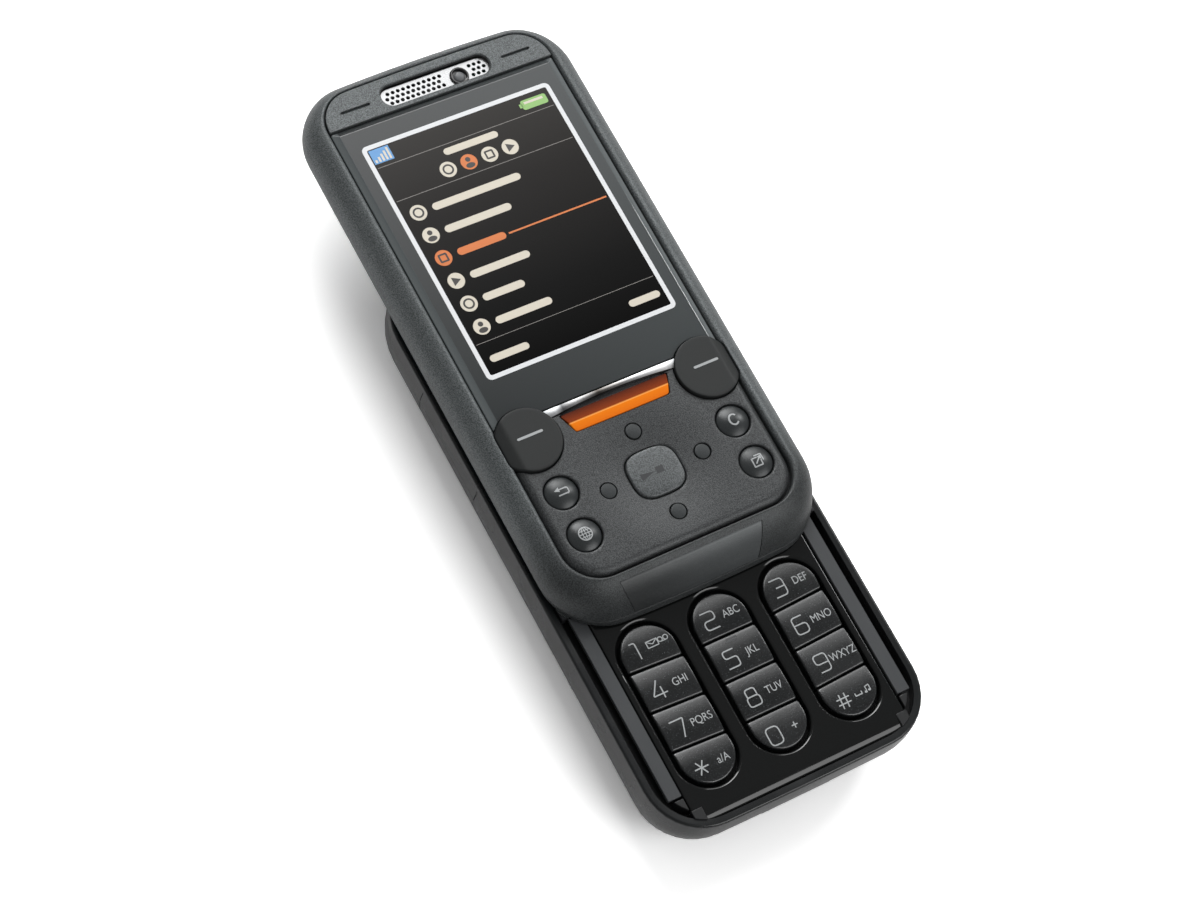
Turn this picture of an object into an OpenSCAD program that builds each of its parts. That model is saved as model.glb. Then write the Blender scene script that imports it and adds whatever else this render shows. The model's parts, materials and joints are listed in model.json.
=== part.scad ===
// Slider phone, shown open: the upper half has slid up and bares the keypad.
// Millimetres. The phone lies on its back on z = 0, +Y runs towards its top
// end, and the origin is under the middle of the open phone.

/* [Overall] */
// Width of the lower half at its widest line
body_w = 47; // [46:0.25:50]
// Length of the lower half
lower_l = 98; // [97:0.5:102]
// Length of the upper half
upper_l = 95.5; // [95:0.25:98]
// How far the upper half slides
travel = 30; // [28:0.5:31]
// Plan radius of the corners of both halves
corner_r = 9; // [8.5:0.25:10]
// Wall thickness of the lower half's shell
wall = 1.2; // [1:0.05:1.4]
// Gap round fitted panels and side buttons
gap = 0.15; // [0.1:0.01:0.2]
// Gap between faces that slide past each other
slide_gap = 0.2; // [0.15:0.01:0.25]
// How far the upper half's sides stand inside the lower half's
half_step = 0.2; // [0:0.05:0.5]

/* [Lower half] */
// Height of its widest line
belly_z = 8; // [7.5:0.1:8.5]
// Height of its rim
rim_z = 13.7; // [13.5:0.05:13.8]
// Radius of the side above the widest line
flank_r = 60; // [40:1:90]
// How far the keypad deck stands above the rim
deck_rise = 0.1; // [0:0.05:0.3]
// Thickness of the keypad deck
deck_t = 1.2; // [1:0.05:1.4]
// Room between the shell's wall and the carriage's legs
leg_room = 0.4; // [0.3:0.05:0.6]
// Gap between the deck and the rails
deck_gap = 0.2; // [0.1:0.02:0.4]
// Gap between the deck and the shell's end wall
deck_end_gap = 1.2; // [0.8:0.1:2]
// Thickness of the battery
battery_t = 4.2; // [3.8:0.1:4.4]
// Distance from the battery to the phone's sides
battery_side = 6.5; // [6.2:0.1:8]
// Distance from the battery to either end of its tray
battery_end = 4; // [3:0.25:8]
// Thickness of the battery cover
cover_t = 1; // [0.8:0.05:1.1]
// Height of the seam round the battery cover
seam_z = 4.6; // [4.2:0.1:4.8]
// Bottom end of the battery cover, from the lower half's bottom end
cover_start = 12; // [11:0.5:14]
// Top end of the battery cover, from the lower half's top end
cover_top = 26; // [25:0.5:27]
// Thickness of the main board
board_t = 0.8; // [0.6:0.05:1]
// Room for parts on the underside of the main board
under_board = 1.4; // [1.3:0.05:1.6]

/* [Keypad] */
// Distance between key rows
row_pitch = 6.5; // [6.3:0.05:6.6]
// Width of the deck outside the outer columns' slots
slot_edge = 1.2; // [1:0.05:1.6]
// Width of a number key
key_w = 8.9; // [8:0.1:9.2]
// Width of the slot round a column of keys
slot_w = 10; // [9.6:0.05:10.2]
// Gap between the keys of a column
key_gap = 0.25; // [0.2:0.01:0.4]
// How far the keys stand above the deck
key_rise = 0.2; // [0.1:0.02:0.25]
// Middle of the keypad, from the lower half's bottom end
keypad_mid = 19; // [18.8:0.1:19.4]
// Slant of the rows in the outer columns, degrees
row_slant = 3; // [0:0.5:5]
// Radius of the crowned top of each key
key_crown_r = 16; // [10:1:40]
// How far a key sinks when it is pressed
key_travel = 0.3; // [0.2:0.02:0.32]

/* [Slide] */
// Width of each rail's top flange
rail_w = 2.2; // [2:0.05:2.4]
// Width of each rail's web
rail_web = 1.2; // [1:0.05:1.3]
// Thickness of each rail's top flange
rail_flange = 0.8; // [0.7:0.05:0.9]
// Height of each rail
rail_h = 2.5; // [2.3:0.05:2.7]
// Thickness of the carriage's steel legs
leg_t = 0.8; // [0.6:0.05:0.9]
// Length of the carriage's legs
leg_l = 54; // [46:0.5:55]

/* [Upper half] */
// Thickness of the upper half
upper_h = 6.1; // [6:0.05:6.6]
// Height of its widest line above its underside
upper_belly = 2; // [1.8:0.1:2.2]
// How far each side draws in up to the face
side_draw = 3; // [2.6:0.1:3.2]
// How far the top end draws in up to the face
top_draw = 1.8; // [1.4:0.1:2.2]
// How far the bottom end draws in up to the face
chin_draw = 5.5; // [5:0.1:6]
// Radius of the sloping bottom end
chin_r = 12; // [10:0.5:20]
// Width of the frame round the insert of glass and keys
bezel_w = 0.8; // [0.6:0.05:1]
// Corner radius of the insert
insert_r = 6; // [5.5:0.1:6.5]
// Thickness of the glass, top cap and key plate
insert_t = 1.5; // [1.4:0.05:1.6]
// Length of the top cap
cap_l = 6.1; // [5.8:0.1:6.4]
// Length of the key plate at the bottom of the face
nav_l = 27.1; // [26.5:0.1:27.5]
// Bevel along the edges of the glass
bevel = 1; // [0.6:0.05:1.2]
// Width of the speaker slot
ear_w = 19; // [16:0.5:20]
// Height of the speaker slot
ear_h = 3.4; // [3:0.1:3.8]
// Radius of the holes in the speaker grille
grille_hole_r = 0.32; // [0.25:0.01:0.34]
// Distance between the grille's holes
grille_pitch = 0.9; // [0.88:0.01:1]

/* [Face keys] */
// Radius of the two soft keys
soft_r = 5.1; // [4.6:0.1:5.3]
// Distance of the soft keys' middles from the insert's sides
soft_inset = 4.1; // [3.9:0.05:4.4]
// How far the soft keys stand above the face
soft_rise = 0.6; // [0.4:0.05:0.8]
// Width of the centre key
centre_w = 8.4; // [7.8:0.1:9]
// Height of the centre key on the face
centre_l = 7.5; // [7:0.1:8]
// Radius of the four round keys
round_r = 2.6; // [2.2:0.1:2.8]
// Radius of the four direction dots
dot_r = 1.2; // [1:0.05:1.4]
// Depth of the dish round the centre key
dish_d = 0.9; // [0.7:0.05:1]
// Radius of the dish round the centre key
dish_w_r = 11; // [10:0.25:12]

/* [Hidden] */
$fn = 64;
EPS = 0.01;
FAR = 80;

// Where the two halves lie in the open phone
open_l = lower_l + travel;
lower_y0 = -open_l / 2;
lower_y1 = lower_y0 + lower_l;
upper_y1 = open_l / 2;
upper_y0 = upper_y1 - upper_l;

// Heights in the lower half, from the back up
tray_t = 0.6;
sim_t = 0.8;
tray_z = cover_t + battery_t + sim_t;
board_z = tray_z + tray_t + under_board;
board_top = board_z + board_t;
deck_z = rim_z + deck_rise;
deck_low = deck_z - deck_t;
rail_z = deck_z + 0.1 - rail_h;
rail_top = rail_z + rail_h;
key_top = deck_z + key_rise;
lip_t = 0.6;
lip_gap = 0.1;
dome_h = 0.3;
dome_r = 1.6;
sheet_t = 0.1;

// Heights in the upper half
upper_z = deck_z + 0.5;
carriage_t = 0.4;
rear_t = 1.1;
shell_z = upper_z + rear_t;
upper_belly_z = upper_z + upper_belly;
face_z = upper_z + upper_h;
insert_z = face_z - insert_t;
shelf_t = 0.8;
shelf_z = insert_z - shelf_t;
upper_board_t = 0.6;
upper_board_top = insert_z - 2.3;
upper_board_z = upper_board_top - upper_board_t;

// Plan of the lower half
cover_y0 = lower_y0 + cover_start;
cover_y1 = lower_y1 - cover_top;
battery_w = body_w - 2 * battery_side;
battery_l = cover_y1 - cover_y0 - 2 * battery_end;
tray_w = battery_w + 2.2;
deck_y0 = lower_y0 + wall + deck_end_gap;
deck_y1 = lower_y1 - wall - 1.3;
screw_x = body_w / 2 - corner_r;
screw_y = [lower_y0 + 4.2, lower_y1 - 5];
screw_r = 0.8;
screw_seat_z = 2.6;
boss_r = 2.2;
post_r = 1.5;
fit = 0.02;

// Plan of the slide, from the wall inward
leg_x = body_w / 2 - wall - leg_room - leg_t;
rail_out = leg_x - slide_gap;
rail_x = rail_out - rail_w;
deck_w = 2 * (rail_x - deck_gap);
column_pitch = (deck_w - slot_w) / 2 - slot_edge;
rail_y0 = lower_y0 + 6.5;
rail_y1 = lower_y1 - 5;
leg_y0 = upper_y0 + 4.5;

// Plan of the face
upper_w = body_w - 2 * half_step;
face_w = upper_w - 2 * side_draw;
insert_w = face_w - 2 * bezel_w;
soft_x = insert_w / 2 - soft_inset;
insert_y0 = upper_y0 + 6.1;
insert_y1 = upper_y1 - 2.3;
cap_y0 = insert_y1 - cap_l;
nav_y1 = insert_y0 + nav_l;
fit_gap = 0.05;
glass_y0 = nav_y1 + fit_gap;
glass_y1 = cap_y0 - fit_gap;
soft_y = nav_y1 - 3.4;
centre_y = nav_y1 - 15.1;
dish_y = centre_y;
dot_x = 8.1;
dot_y = 7;
round_x = insert_w / 2 - 4.7;
round_y = [centre_y + 2.45, centre_y - 4.8];
ear_x = 0.2;
ear_y = cap_y0 + 2.5;
lens_x = 4.2;
lens_y = ear_y - 0.3;
lens_r = 1.5;

// Number pad: name, column and row of each key
PAD = [for (row = [0:3]) for (column = [-1:1]) [column, row]];
function pad_x(column) = column * column_pitch;
function pad_y(column, row) =
    lower_y0 + keypad_mid + (1.5 - row) * row_pitch - (column == 0 ? 0.3 : 0);

// ---------------------------------------------------------------- basic shapes

// Rounded rectangle, centred in x, from y0 to y1
module plan(w, y0, y1, r) {
    for (s = [-1, 1], y = [y0 + r, y1 - r]) translate([s * (w / 2 - r), y]) circle(r);
    translate([-w / 2, y0 + r]) square([w, y1 - y0 - 2 * r]);
    translate([r - w / 2, y0]) square([w - 2 * r, y1 - y0]);
}

// The plan of either half, drawn in by t
module lower_plan(t) {
    plan(body_w - 2 * t, lower_y0 + t, lower_y1 - t, corner_r - t);
}

// Slot with round ends, centred, w long in x and h high in y
module pill(w, h) {
    for (s = [-1, 1]) translate([s * (w - h) / 2, 0]) circle(d = h);
    square([w - h, h], center = true);
}

// Block centred in x and y that stands on z0
module block(w, l, z0, z1) {
    translate([-w / 2, -l / 2, z0]) cube([w, l, z1 - z0]);
}

// Sweeps an edge section round a rounded rectangle. The child is the section:
// x runs outward from the corner's centre and y is the height.
module swept(w, y0, y1, r, z0, z1) {
    cx = w / 2 - r;
    for (s = [-1, 1]) {
        for (y = [y0 + r, y1 - r]) translate([s * cx, y, 0]) rotate_extrude() children();
        translate([s * cx, y1 - r, 0]) rotate([90, 0, 0])
            linear_extrude(y1 - y0 - 2 * r) mirror([s < 0 ? 1 : 0, 0]) children();
    }
    for (e = [[y0 + r, 1], [y1 - r, 0]])
        translate([-cx, e[0], 0]) rotate([90, 0, 90])
            linear_extrude(2 * cx) mirror([e[1], 0]) children();
    translate([-cx, y0 + r, z0]) cube([2 * cx, y1 - y0 - 2 * r, z1 - z0]);
}

// Edge section that swells to its widest at mid_z and is drawn in by t
module edge(r, low_r, high_r, mid_z, z0, z1, t) {
    intersection() {
        union() {
            intersection() {
                translate([r - low_r, mid_z]) circle(r = low_r - t);
                translate([0, z0]) square([r, mid_z - z0]);
            }
            intersection() {
                translate([r - high_r, mid_z]) circle(r = high_r - t);
                translate([0, mid_z]) square([r, z1 - mid_z]);
            }
            translate([0, z0]) square([max(EPS, r - low_r), z1 - z0]);
        }
        translate([0, z0]) square([r, z1 - z0]);
    }
}

// Solid shape of the lower half, drawn in by t and cut level at z1
module lower_form(t, z1) {
    swept(body_w, lower_y0, lower_y1, corner_r, t, z1)
        edge(corner_r, belly_z, flank_r, belly_z, t, z1, t);
}

// Space inside the lower half: it stands straight above the widest line
module lower_space(t) {
    lower_form(t, rim_z + 1);
    translate([0, 0, belly_z]) linear_extrude(rim_z + 1 - belly_z) lower_plan(t);
}

// Radius of an arc that leaves the vertical and draws in by d over the height h
function draw_r(d, h) = (d * d + h * h) / (2 * d);

// Solid shape of the upper half: drawn in at the sides and at the sloping chin
module upper_form(t = 0) {
    h = face_z - upper_belly_z;
    side_r = draw_r((upper_w - face_w) / 2, h);
    end_r = draw_r(top_draw, h);
    chord = [chin_draw, upper_h];
    half = norm(chord) / 2;
    reach = sqrt(chin_r * chin_r - half * half);
    chin_y = upper_y0 + 0.2 + chin_draw / 2 + reach * chord[1] / (2 * half);
    chin_z = upper_z + upper_h / 2 - reach * chord[0] / (2 * half);
    intersection() {
        swept(upper_w, upper_y0, upper_y1, corner_r, upper_z, face_z)
            edge(corner_r, 4, end_r, upper_belly_z, upper_z, face_z, t);
        // sides
        translate([0, FAR, 0]) rotate([90, 0, 0]) linear_extrude(2 * FAR) {
            for (s = [-1, 1])
                translate([s * (upper_w / 2 - 0.05 - side_r), upper_belly_z])
                    circle(r = side_r - t);
            translate([-upper_w / 2 + 0.05 + side_r, 0])
                square([upper_w - 0.1 - 2 * side_r, face_z + 1]);
            translate([-upper_w / 2 + 0.05 + t, 0])
                square([upper_w - 0.1 - 2 * t, upper_belly_z]);
        }
        // sloping bottom end
        union() {
            translate([-FAR / 2, chin_y, chin_z]) rotate([0, 90, 0])
                cylinder(r = chin_r - t, h = FAR, $fn = 180);
            translate([-FAR / 2, chin_y, 0]) cube([FAR, 2 * FAR, 2 * face_z]);
        }
    }
}

// ------------------------------------------------------------------ lower half

// Region of the battery cover, shrunk by g at its seams
module cover_region(g) {
    translate([-FAR / 2, cover_y0 + g, -1])
        cube([FAR, cover_y1 - cover_y0 - 2 * g, seam_z + 1 - g]);
}

// Card door on the left side: its ends, hinge line and top edge
door_y0 = lower_y1 - 37.5;
door_l = 17.6;
door_pin_r = 0.3;
door_barrel_r = 0.7;
door_axis_z = seam_z + 1.3;
door_top_z = door_axis_z + 3.9;
door_axis_x = -(body_w / 2 - belly_z
    + sqrt(pow(belly_z, 2) - pow(belly_z - door_axis_z, 2)) - door_barrel_r - 0.05);

module door_panel(g) {
    intersection() {
        difference() {
            lower_form(0, rim_z);
            lower_form(wall - 0.2 + g, rim_z + 1);
        }
        translate([-body_w, door_y0 - g, door_axis_z])
            cube([body_w / 2 + 8, door_l + 2 * g, door_top_z - door_axis_z + g]);
    }
    translate([door_axis_x, door_y0 + door_l + g, door_axis_z]) rotate([90, 0, 0])
        cylinder(r = door_barrel_r + g, h = door_l + 2 * g);
}

// Side button: a rounded bar that stands out of the wall and a lip inside it.
// The bar lies along x in its own frame, and y points out of the wall.
side_key_z = belly_z - 0.5;
side_key_h = 2.4;
side_lip = 0.5;
module side_button(l, out, grow = 0, back = 0.1) {
    h = side_key_h + 2 * grow;
    translate([0, out, 0]) rotate([90, 0, 0])
        linear_extrude(out + wall + back + 1) pill(l + 2 * grow, h);
}
module side_lip(l, back = 0.1) {
    h = side_key_h + 2 * side_lip;
    translate([0, -wall - back - 0.4, 0]) rotate([90, 0, 0])
        linear_extrude(0.6) pill(l + 2 * side_lip, h);
}

// The rocker tilts, so its lip stands further back from the wall
rocker_back = 0.45;
volume_l = 16;
volume_y = lower_y1 - 23;
camera_key_l = 8;
camera_key_y = lower_y0 + 30;
power_l = 7;
power_x = 10;
side_out = 0.4;

module at_right(y) {
    translate([body_w / 2, y, side_key_z]) rotate([0, 0, -90]) children();
}
module at_top(x) {
    translate([x, lower_y1, side_key_z]) children();
}

camera_x = 14.5 - body_w / 2;
camera_y = lower_y1 - 12.5;
speaker_x = body_w / 2 - 15;
speaker_y = lower_y1 - 14.6;
connector_w = 12;
connector_h = 2.6;

module rear_housing() color("#3a3b3e") {
    difference() {
        union() {
            difference() {
                lower_form(0, rim_z);
                lower_space(wall);
                cover_region(0);
            }
            // battery tray with its end walls and side walls
            intersection() {
                lower_form(wall - 0.1, rim_z);
                union() {
                    translate([0, (cover_y0 + cover_y1) / 2, 0])
                        block(tray_w, cover_y1 - cover_y0 + 2, tray_z, tray_z + tray_t);
                    for (y = [cover_y0 - 0.5, cover_y1 + 0.5]) translate([0, y, 0]) {
                        block(tray_w, 1, 0, tray_z + tray_t);
                        block(FAR, 1, 0, seam_z + 0.4);
                    }
                    for (s = [-1, 1])
                        translate([s * (tray_w / 2 - 0.4), (cover_y0 + cover_y1) / 2, 0])
                            block(0.8, cover_y1 - cover_y0 + 1, cover_t + 0.1, tray_z + EPS);
                }
            }
            // screw bosses carry the board
            for (x = [-screw_x, screw_x], y = screw_y)
                intersection() {
                    translate([x, y, 0]) cylinder(r = boss_r, h = board_z);
                    lower_form(wall / 2, rim_z);
                }
        }
        for (x = [-screw_x, screw_x], y = screw_y) translate([x, y, -1]) {
            cylinder(r = screw_r + 0.1, h = FAR);
            cylinder(r = 1.7, h = 1 + screw_seat_z);
        }
        // openings in the walls
        door_panel(gap);
        translate([-body_w, door_y0 - gap, door_axis_z - door_barrel_r - 0.05 - gap])
            cube([body_w + door_axis_x, door_l + 2 * gap, door_barrel_r + gap]);
        translate([door_axis_x, door_y0 + door_l + 1.2, door_axis_z]) rotate([90, 0, 0])
            cylinder(r = door_pin_r + 0.04, h = door_l + 2.4);
        at_right(volume_y) side_button(volume_l, 2, gap);
        at_right(camera_key_y) side_button(camera_key_l, 2, gap);
        at_top(power_x) side_button(power_l, 2, gap);
        translate([0, lower_y0 + 4, board_z - connector_h / 2]) rotate([90, 0, 0])
            linear_extrude(10) square([connector_w + 2 * gap, connector_h + 2 * gap], true);
        // rear camera and loudspeaker
        translate([camera_x, camera_y, -1]) cylinder(r = 4.4, h = 1.8);
        translate([camera_x, camera_y, -1]) cylinder(r = 3, h = 4);
        for (i = [-1:1]) translate([speaker_x, speaker_y + i * 2, -1])
            linear_extrude(4) pill(8, 0.9);
    }
}

module battery_cover() color("#2f3033") intersection() {
    difference() {
        lower_form(0, rim_z);
        lower_form(cover_t, rim_z);
    }
    cover_region(gap);
}

// One column of the keypad as a plan, and the band that one key takes in it
module column_plan(w) {
    translate([0, lower_y0 + keypad_mid]) rotate(90) pill(4 * row_pitch - key_gap + w - key_w, w);
}
module key_band(column, row, g) {
    mid = pad_y(column, row);
    up = row == 0 ? row_pitch * 2 : row_pitch / 2 - g / 2;
    down = row == 3 ? row_pitch * 2 : row_pitch / 2 - g / 2;
    rotate_about = column * row_slant;
    translate([0, mid]) rotate(rotate_about)
        translate([-row_pitch * 2, -down]) square([row_pitch * 4, up + down]);
}

module number_key(column, row) color("#45464a") {
    at = [pad_x(column), 0, 0];
    crown_z = key_top - key_crown_r;
    mid = pad_y(column, row);
    lip_z = deck_low - lip_gap - lip_t;
    translate(at) {
        intersection() {
            translate([0, 0, lip_z + EPS]) linear_extrude(FAR) intersection() {
                column_plan(key_w);
                key_band(column, row, key_gap);
            }
            translate([-FAR / 2, mid, crown_z]) rotate([0, 90, 0])
                cylinder(r = key_crown_r, h = FAR, $fn = 180);
        }
        translate([0, 0, lip_z]) linear_extrude(lip_t) intersection() {
            column_plan(slot_w + 0.4);
            key_band(column, row, key_gap);
            translate([-slot_w, lower_y0 + keypad_mid - 2 * row_pitch])
                square([2 * slot_w, 4 * row_pitch]);
        }
        translate([0, mid, board_top + sheet_t + dome_h + key_travel + 0.05])
            cylinder(r = 1.2, h = lip_z - board_top - sheet_t - dome_h - key_travel + 0.1);
    }
}

// Channel in the deck for the ribbon cable to roll in, and the cable's own run
flex_w = 12;
flex_t = 0.15;
flex_low_y = upper_y0 + 11;
flex_high_y = upper_y0 + 26;
flex_bend_y = lower_y1 - 14;
flex_floor = deck_z - 0.8;

module keypad_plate() color("#1c1d20") {
    wall_t = 0.8;
    flange_t = 0.6;
    difference() {
        union() {
            translate([0, 0, deck_low]) linear_extrude(deck_t)
                plan(deck_w, deck_y0, deck_y1, 2.2);
            // side walls and the flange that carries the rails
            translate([0, 0, rail_z - flange_t]) linear_extrude(deck_low - rail_z + flange_t + EPS)
                difference() {
                    plan(deck_w, deck_y0, deck_y1, 2.2);
                    plan(deck_w - 2 * wall_t, deck_y0 + wall_t, deck_y1 - wall_t, 1.4);
                }
            translate([0, 0, rail_z - flange_t]) linear_extrude(flange_t) difference() {
                lower_plan(wall + gap);
                plan(deck_w - 2 * wall_t, deck_y0 + wall_t, deck_y1 - wall_t, 1.4);
            }
            for (x = [-screw_x, screw_x], y = screw_y)
                translate([x, y, board_top]) cylinder(r = post_r, h = deck_low - board_top + EPS);
        }
        for (column = [-1:1]) translate([pad_x(column), 0, deck_low - 1])
            linear_extrude(FAR) column_plan(slot_w);
        for (x = [-screw_x, screw_x], y = screw_y)
            translate([x, y, 0]) cylinder(r = screw_r + fit, h = deck_low);
        // corners give room to the stop blocks
        for (s = [-1, 1]) translate([s * (deck_w / 2 - 0.7), deck_y0, rail_z])
            block(2.2, 3.4, 0, FAR);
        // channel and slot of the ribbon cable
        translate([0, (flex_low_y + flex_bend_y) / 2 + 1, 0])
            block(flex_w + 2, flex_bend_y - flex_low_y + 8, flex_floor, FAR);
        translate([0, flex_low_y, 0]) block(flex_w + 1, 1.4, 0, FAR);
    }
}

// The rails' own section, from the deck outward
module rail_section() {
    translate([rail_x, rail_z]) square([rail_web, rail_h]);
    translate([rail_x, rail_top - rail_flange]) square([rail_w, rail_flange]);
}
module slide_rails() color("#8f9297") {
    for (s = [0, 1]) mirror([s, 0, 0]) {
        translate([0, rail_y1, 0]) rotate([90, 0, 0]) linear_extrude(rail_y1 - rail_y0)
            rail_section();
        // end piece that follows the corner, and the stop block beside it
        translate([0, 0, rail_z]) linear_extrude(rail_h) intersection() {
            lower_plan(body_w / 2 - rail_out);
            translate([rail_x, deck_y0 - 5]) square([10, rail_y0 - 0.4 - deck_y0 + 5]);
        }
        translate([0, 0, rail_z]) linear_extrude(rail_h) intersection() {
            lower_plan(wall + 2 * gap);
            translate([deck_w / 2 - 0.8, deck_y0 + 0.5]) square([1.8, 2], center = true);
        }
    }
}

module main_board() color("#20603c") {
    notch = 1.5;
    switch_in = wall + 3.4;
    difference() {
        union() {
            translate([0, 0, board_z]) linear_extrude(board_t) lower_plan(wall + 0.7);
            // switches behind the side buttons
            for (b = [[volume_y - 5, 0], [volume_y + 5, 0], [camera_key_y, 0]])
                translate([body_w / 2 - switch_in, b[0], 0]) block(2.2, 3, board_z - 1, board_z + EPS);
            translate([power_x, lower_y1 - switch_in, 0])
                block(3, 2.2, board_z - 1, board_z + EPS);
            // ribbon connector
            translate([0, flex_low_y + 2.4, 0]) block(flex_w, 2.4, board_top - EPS, board_top + 1);
        }
        for (x = [-screw_x, screw_x], y = screw_y)
            translate([x, y, 0]) cylinder(r = screw_r + 0.1, h = FAR);
        for (b = [[volume_y, volume_l], [camera_key_y, camera_key_l]])
            translate([body_w / 2 - wall - notch / 2 - 0.3, b[0], 0])
                block(notch + 0.6, b[1] + 2 * side_lip + 1, 0, FAR);
        translate([power_x, lower_y1 - wall - notch / 2 - 0.3, 0])
            block(power_l + 2 * side_lip + 1, notch + 0.6, 0, FAR);
        translate([-body_w / 2 + wall + notch / 2, door_y0 + door_l / 2, 0])
            block(notch + 0.8, door_l + 1, 0, FAR);
    }
}

module shield_cans() color("#b9bcc0") {
    // on the board's upper side, above the keypad
    can_w = body_w / 2 - 5.5;
    can_h = 1.3;
    can_t = 0.2;
    for (s = [-1, 1], y = [lower_y1 - 18.5, lower_y1 - 37.5])
        translate([s * (can_w / 2 + 0.75), y, 0]) difference() {
            block(can_w, 17, board_top, board_top + can_h);
            block(can_w - 2 * can_t, 17 - 2 * can_t, board_top - 1, board_top + can_h - can_t);
            for (i = [-1:1]) translate([i * 4, 0, 0]) cylinder(r = 0.5, h = FAR);
        }
}

// Snap domes stand on a sheet under the number keys
module snap_dome(r = dome_r) {
    big = (r * r + dome_h * dome_h) / (2 * dome_h);
    intersection() {
        translate([0, 0, dome_h - big]) sphere(r = big);
        translate([0, 0, -EPS]) cylinder(r = r + 1, h = dome_h + 1);
    }
}
module dome_sheet() color("#c9b98c") {
    translate([0, 0, board_top]) linear_extrude(sheet_t)
        plan(deck_w - 4, lower_y0 + keypad_mid - 2 * row_pitch + 0.4,
            lower_y0 + keypad_mid + 2 * row_pitch, 1.5);
    for (k = PAD) translate([pad_x(k[0]), pad_y(k[0], k[1]), board_top + sheet_t]) snap_dome();
}

battery_y = (cover_y0 + cover_y1) / 2;
module battery() color("#d8d9dc") difference() {
    intersection() {
        linear_extrude(cover_t + battery_t)
            plan(battery_w, battery_y - battery_l / 2, battery_y + battery_l / 2, 1.5);
        lower_form(cover_t + fit_gap, rim_z);
    }
    // recessed contacts
    for (i = [-1:1]) translate([i * 3, battery_y + battery_l / 2, 0])
        block(1.6, 0.8, cover_t + 1, cover_t + 3);
}

sim_w = battery_w - 7;
sim_l = 16;
sim_y = cover_y1 - 14;
module sim_holder() color("#a9adb2") translate([0, sim_y, 0]) difference() {
    block(sim_w, sim_l, tray_z - sim_t, tray_z);
    translate([0, -1, 0]) block(sim_w - 1.6, sim_l, tray_z - sim_t + 0.2, tray_z + 1);
    translate([0, -sim_l / 2, 0]) cylinder(r = 5, h = FAR);
}

card_w = 11;
card_l = 15;
card_t = 1;
card_y = door_y0 + door_l / 2;
card_x0 = -body_w / 2 + wall + 1.2;
card_z = board_z - 1.2;
module card_socket() color("#9b9ea3") difference() {
    translate([card_x0 + 1 + card_l / 2, card_y, 0])
        block(card_l, card_w + 2, board_z - under_board + 0.05, board_z);
    translate([card_x0 + card_l / 2, card_y, 0])
        block(card_l + 0.1, card_w + 0.1, card_z - 0.05, card_z + card_t + 0.05);
}
module memory_card() color("#26282b") translate([card_x0 + card_l / 2, card_y, 0])
    difference() {
        block(card_l, card_w, card_z, card_z + card_t);
        translate([-card_l / 2, card_w / 2, 0]) rotate([0, 0, 45]) block(2, 2, 0, FAR);
    }

module card_door() color("#303134") {
    door_panel(0);
    translate([door_axis_x, door_y0 + door_l + 0.9, door_axis_z]) rotate([90, 0, 0])
        cylinder(r = door_pin_r, h = door_l + 1.8);
}

module rear_camera() color("#1a1a1c") translate([camera_x, camera_y, 0]) {
    block(8.6, 8.6, wall, board_z);
    translate([0, 0, 0.85]) cylinder(r = 2.6, h = wall);
}
module camera_window() color("#55585d") translate([camera_x, camera_y, 0]) difference() {
    translate([0, 0, 0.05]) cylinder(r = 4.4 - fit_gap, h = 0.75);
    translate([0, 0, -1]) cylinder(r = 3.4, h = 1.3);
}

speaker_r = 6.2;
module loudspeaker() color("#2a2a2c") translate([speaker_x, speaker_y, 0]) {
    difference() {
        translate([0, 0, wall]) cylinder(r = speaker_r, h = 3);
        translate([0, 0, wall - 1]) cylinder(r = speaker_r - 1, h = 1.5);
    }
    translate([0, 0, wall + 3 - EPS]) cylinder(r = 3.6, h = 0.8);
}

motor_r = 2;
module vibration_motor() color("#c4c7cb")
    translate([body_w / 2 - 11.5, cover_y1 + motor_r + 1.1, wall + motor_r]) rotate([0, 90, 0]) {
        translate([0, 0, -9]) cylinder(r = motor_r, h = 8);
        translate([0, 0, -1 - EPS]) cylinder(r = 0.4, h = 3);
        translate([0, 0, -0.6]) intersection() {
            cylinder(r = motor_r - 0.1, h = 2.2);
            translate([0.2, -motor_r, 0]) cube([motor_r, 2 * motor_r, 3]);
        }
    }

antenna_w = 2 * screw_x - 7;
module antenna() color("#b08a4f") intersection() {
    lower_form(wall + 0.03, rim_z);
    difference() {
        translate([0, lower_y0 + 6.9, 0]) block(antenna_w, 8, wall, 5);
        for (s = [-1, 1]) translate([s * antenna_w / 4, lower_y0 + 7, 0])
            block(antenna_w / 2 - 2, 4, 3.4, 9);
    }
}

module system_connector() color("#c8cbd0") translate([0, lower_y0, 0]) difference() {
    translate([0, 3.8, 0]) block(connector_w, 6.4, board_z - connector_h, board_z);
    translate([0, 2, 0]) block(connector_w - 1, 5, board_z - connector_h + 0.5, board_z - 0.5);
}

module housing_screws() color("#6f7277")
    for (x = [-screw_x, screw_x], y = screw_y) translate([x, y, 0]) {
        difference() {
            translate([0, 0, screw_seat_z - 1]) cylinder(r = 1.5, h = 1);
            for (a = [0, 90]) rotate([0, 0, a]) block(1.8, 0.4, 0, screw_seat_z - 0.6);
        }
        translate([0, 0, screw_seat_z - EPS])
            cylinder(r = screw_r, h = deck_low - screw_seat_z - 0.3);
    }

module volume_rocker() color("#4a4b4f") at_right(volume_y) {
    side_button(volume_l, side_out, 0, rocker_back);
    side_lip(volume_l, rocker_back);
}
module camera_key() color("#4a4b4f") at_right(camera_key_y) {
    side_button(camera_key_l, side_out);
    side_lip(camera_key_l);
}
module power_key() color("#4a4b4f") at_top(power_x) {
    side_button(power_l, side_out);
    side_lip(power_l);
}

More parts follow.
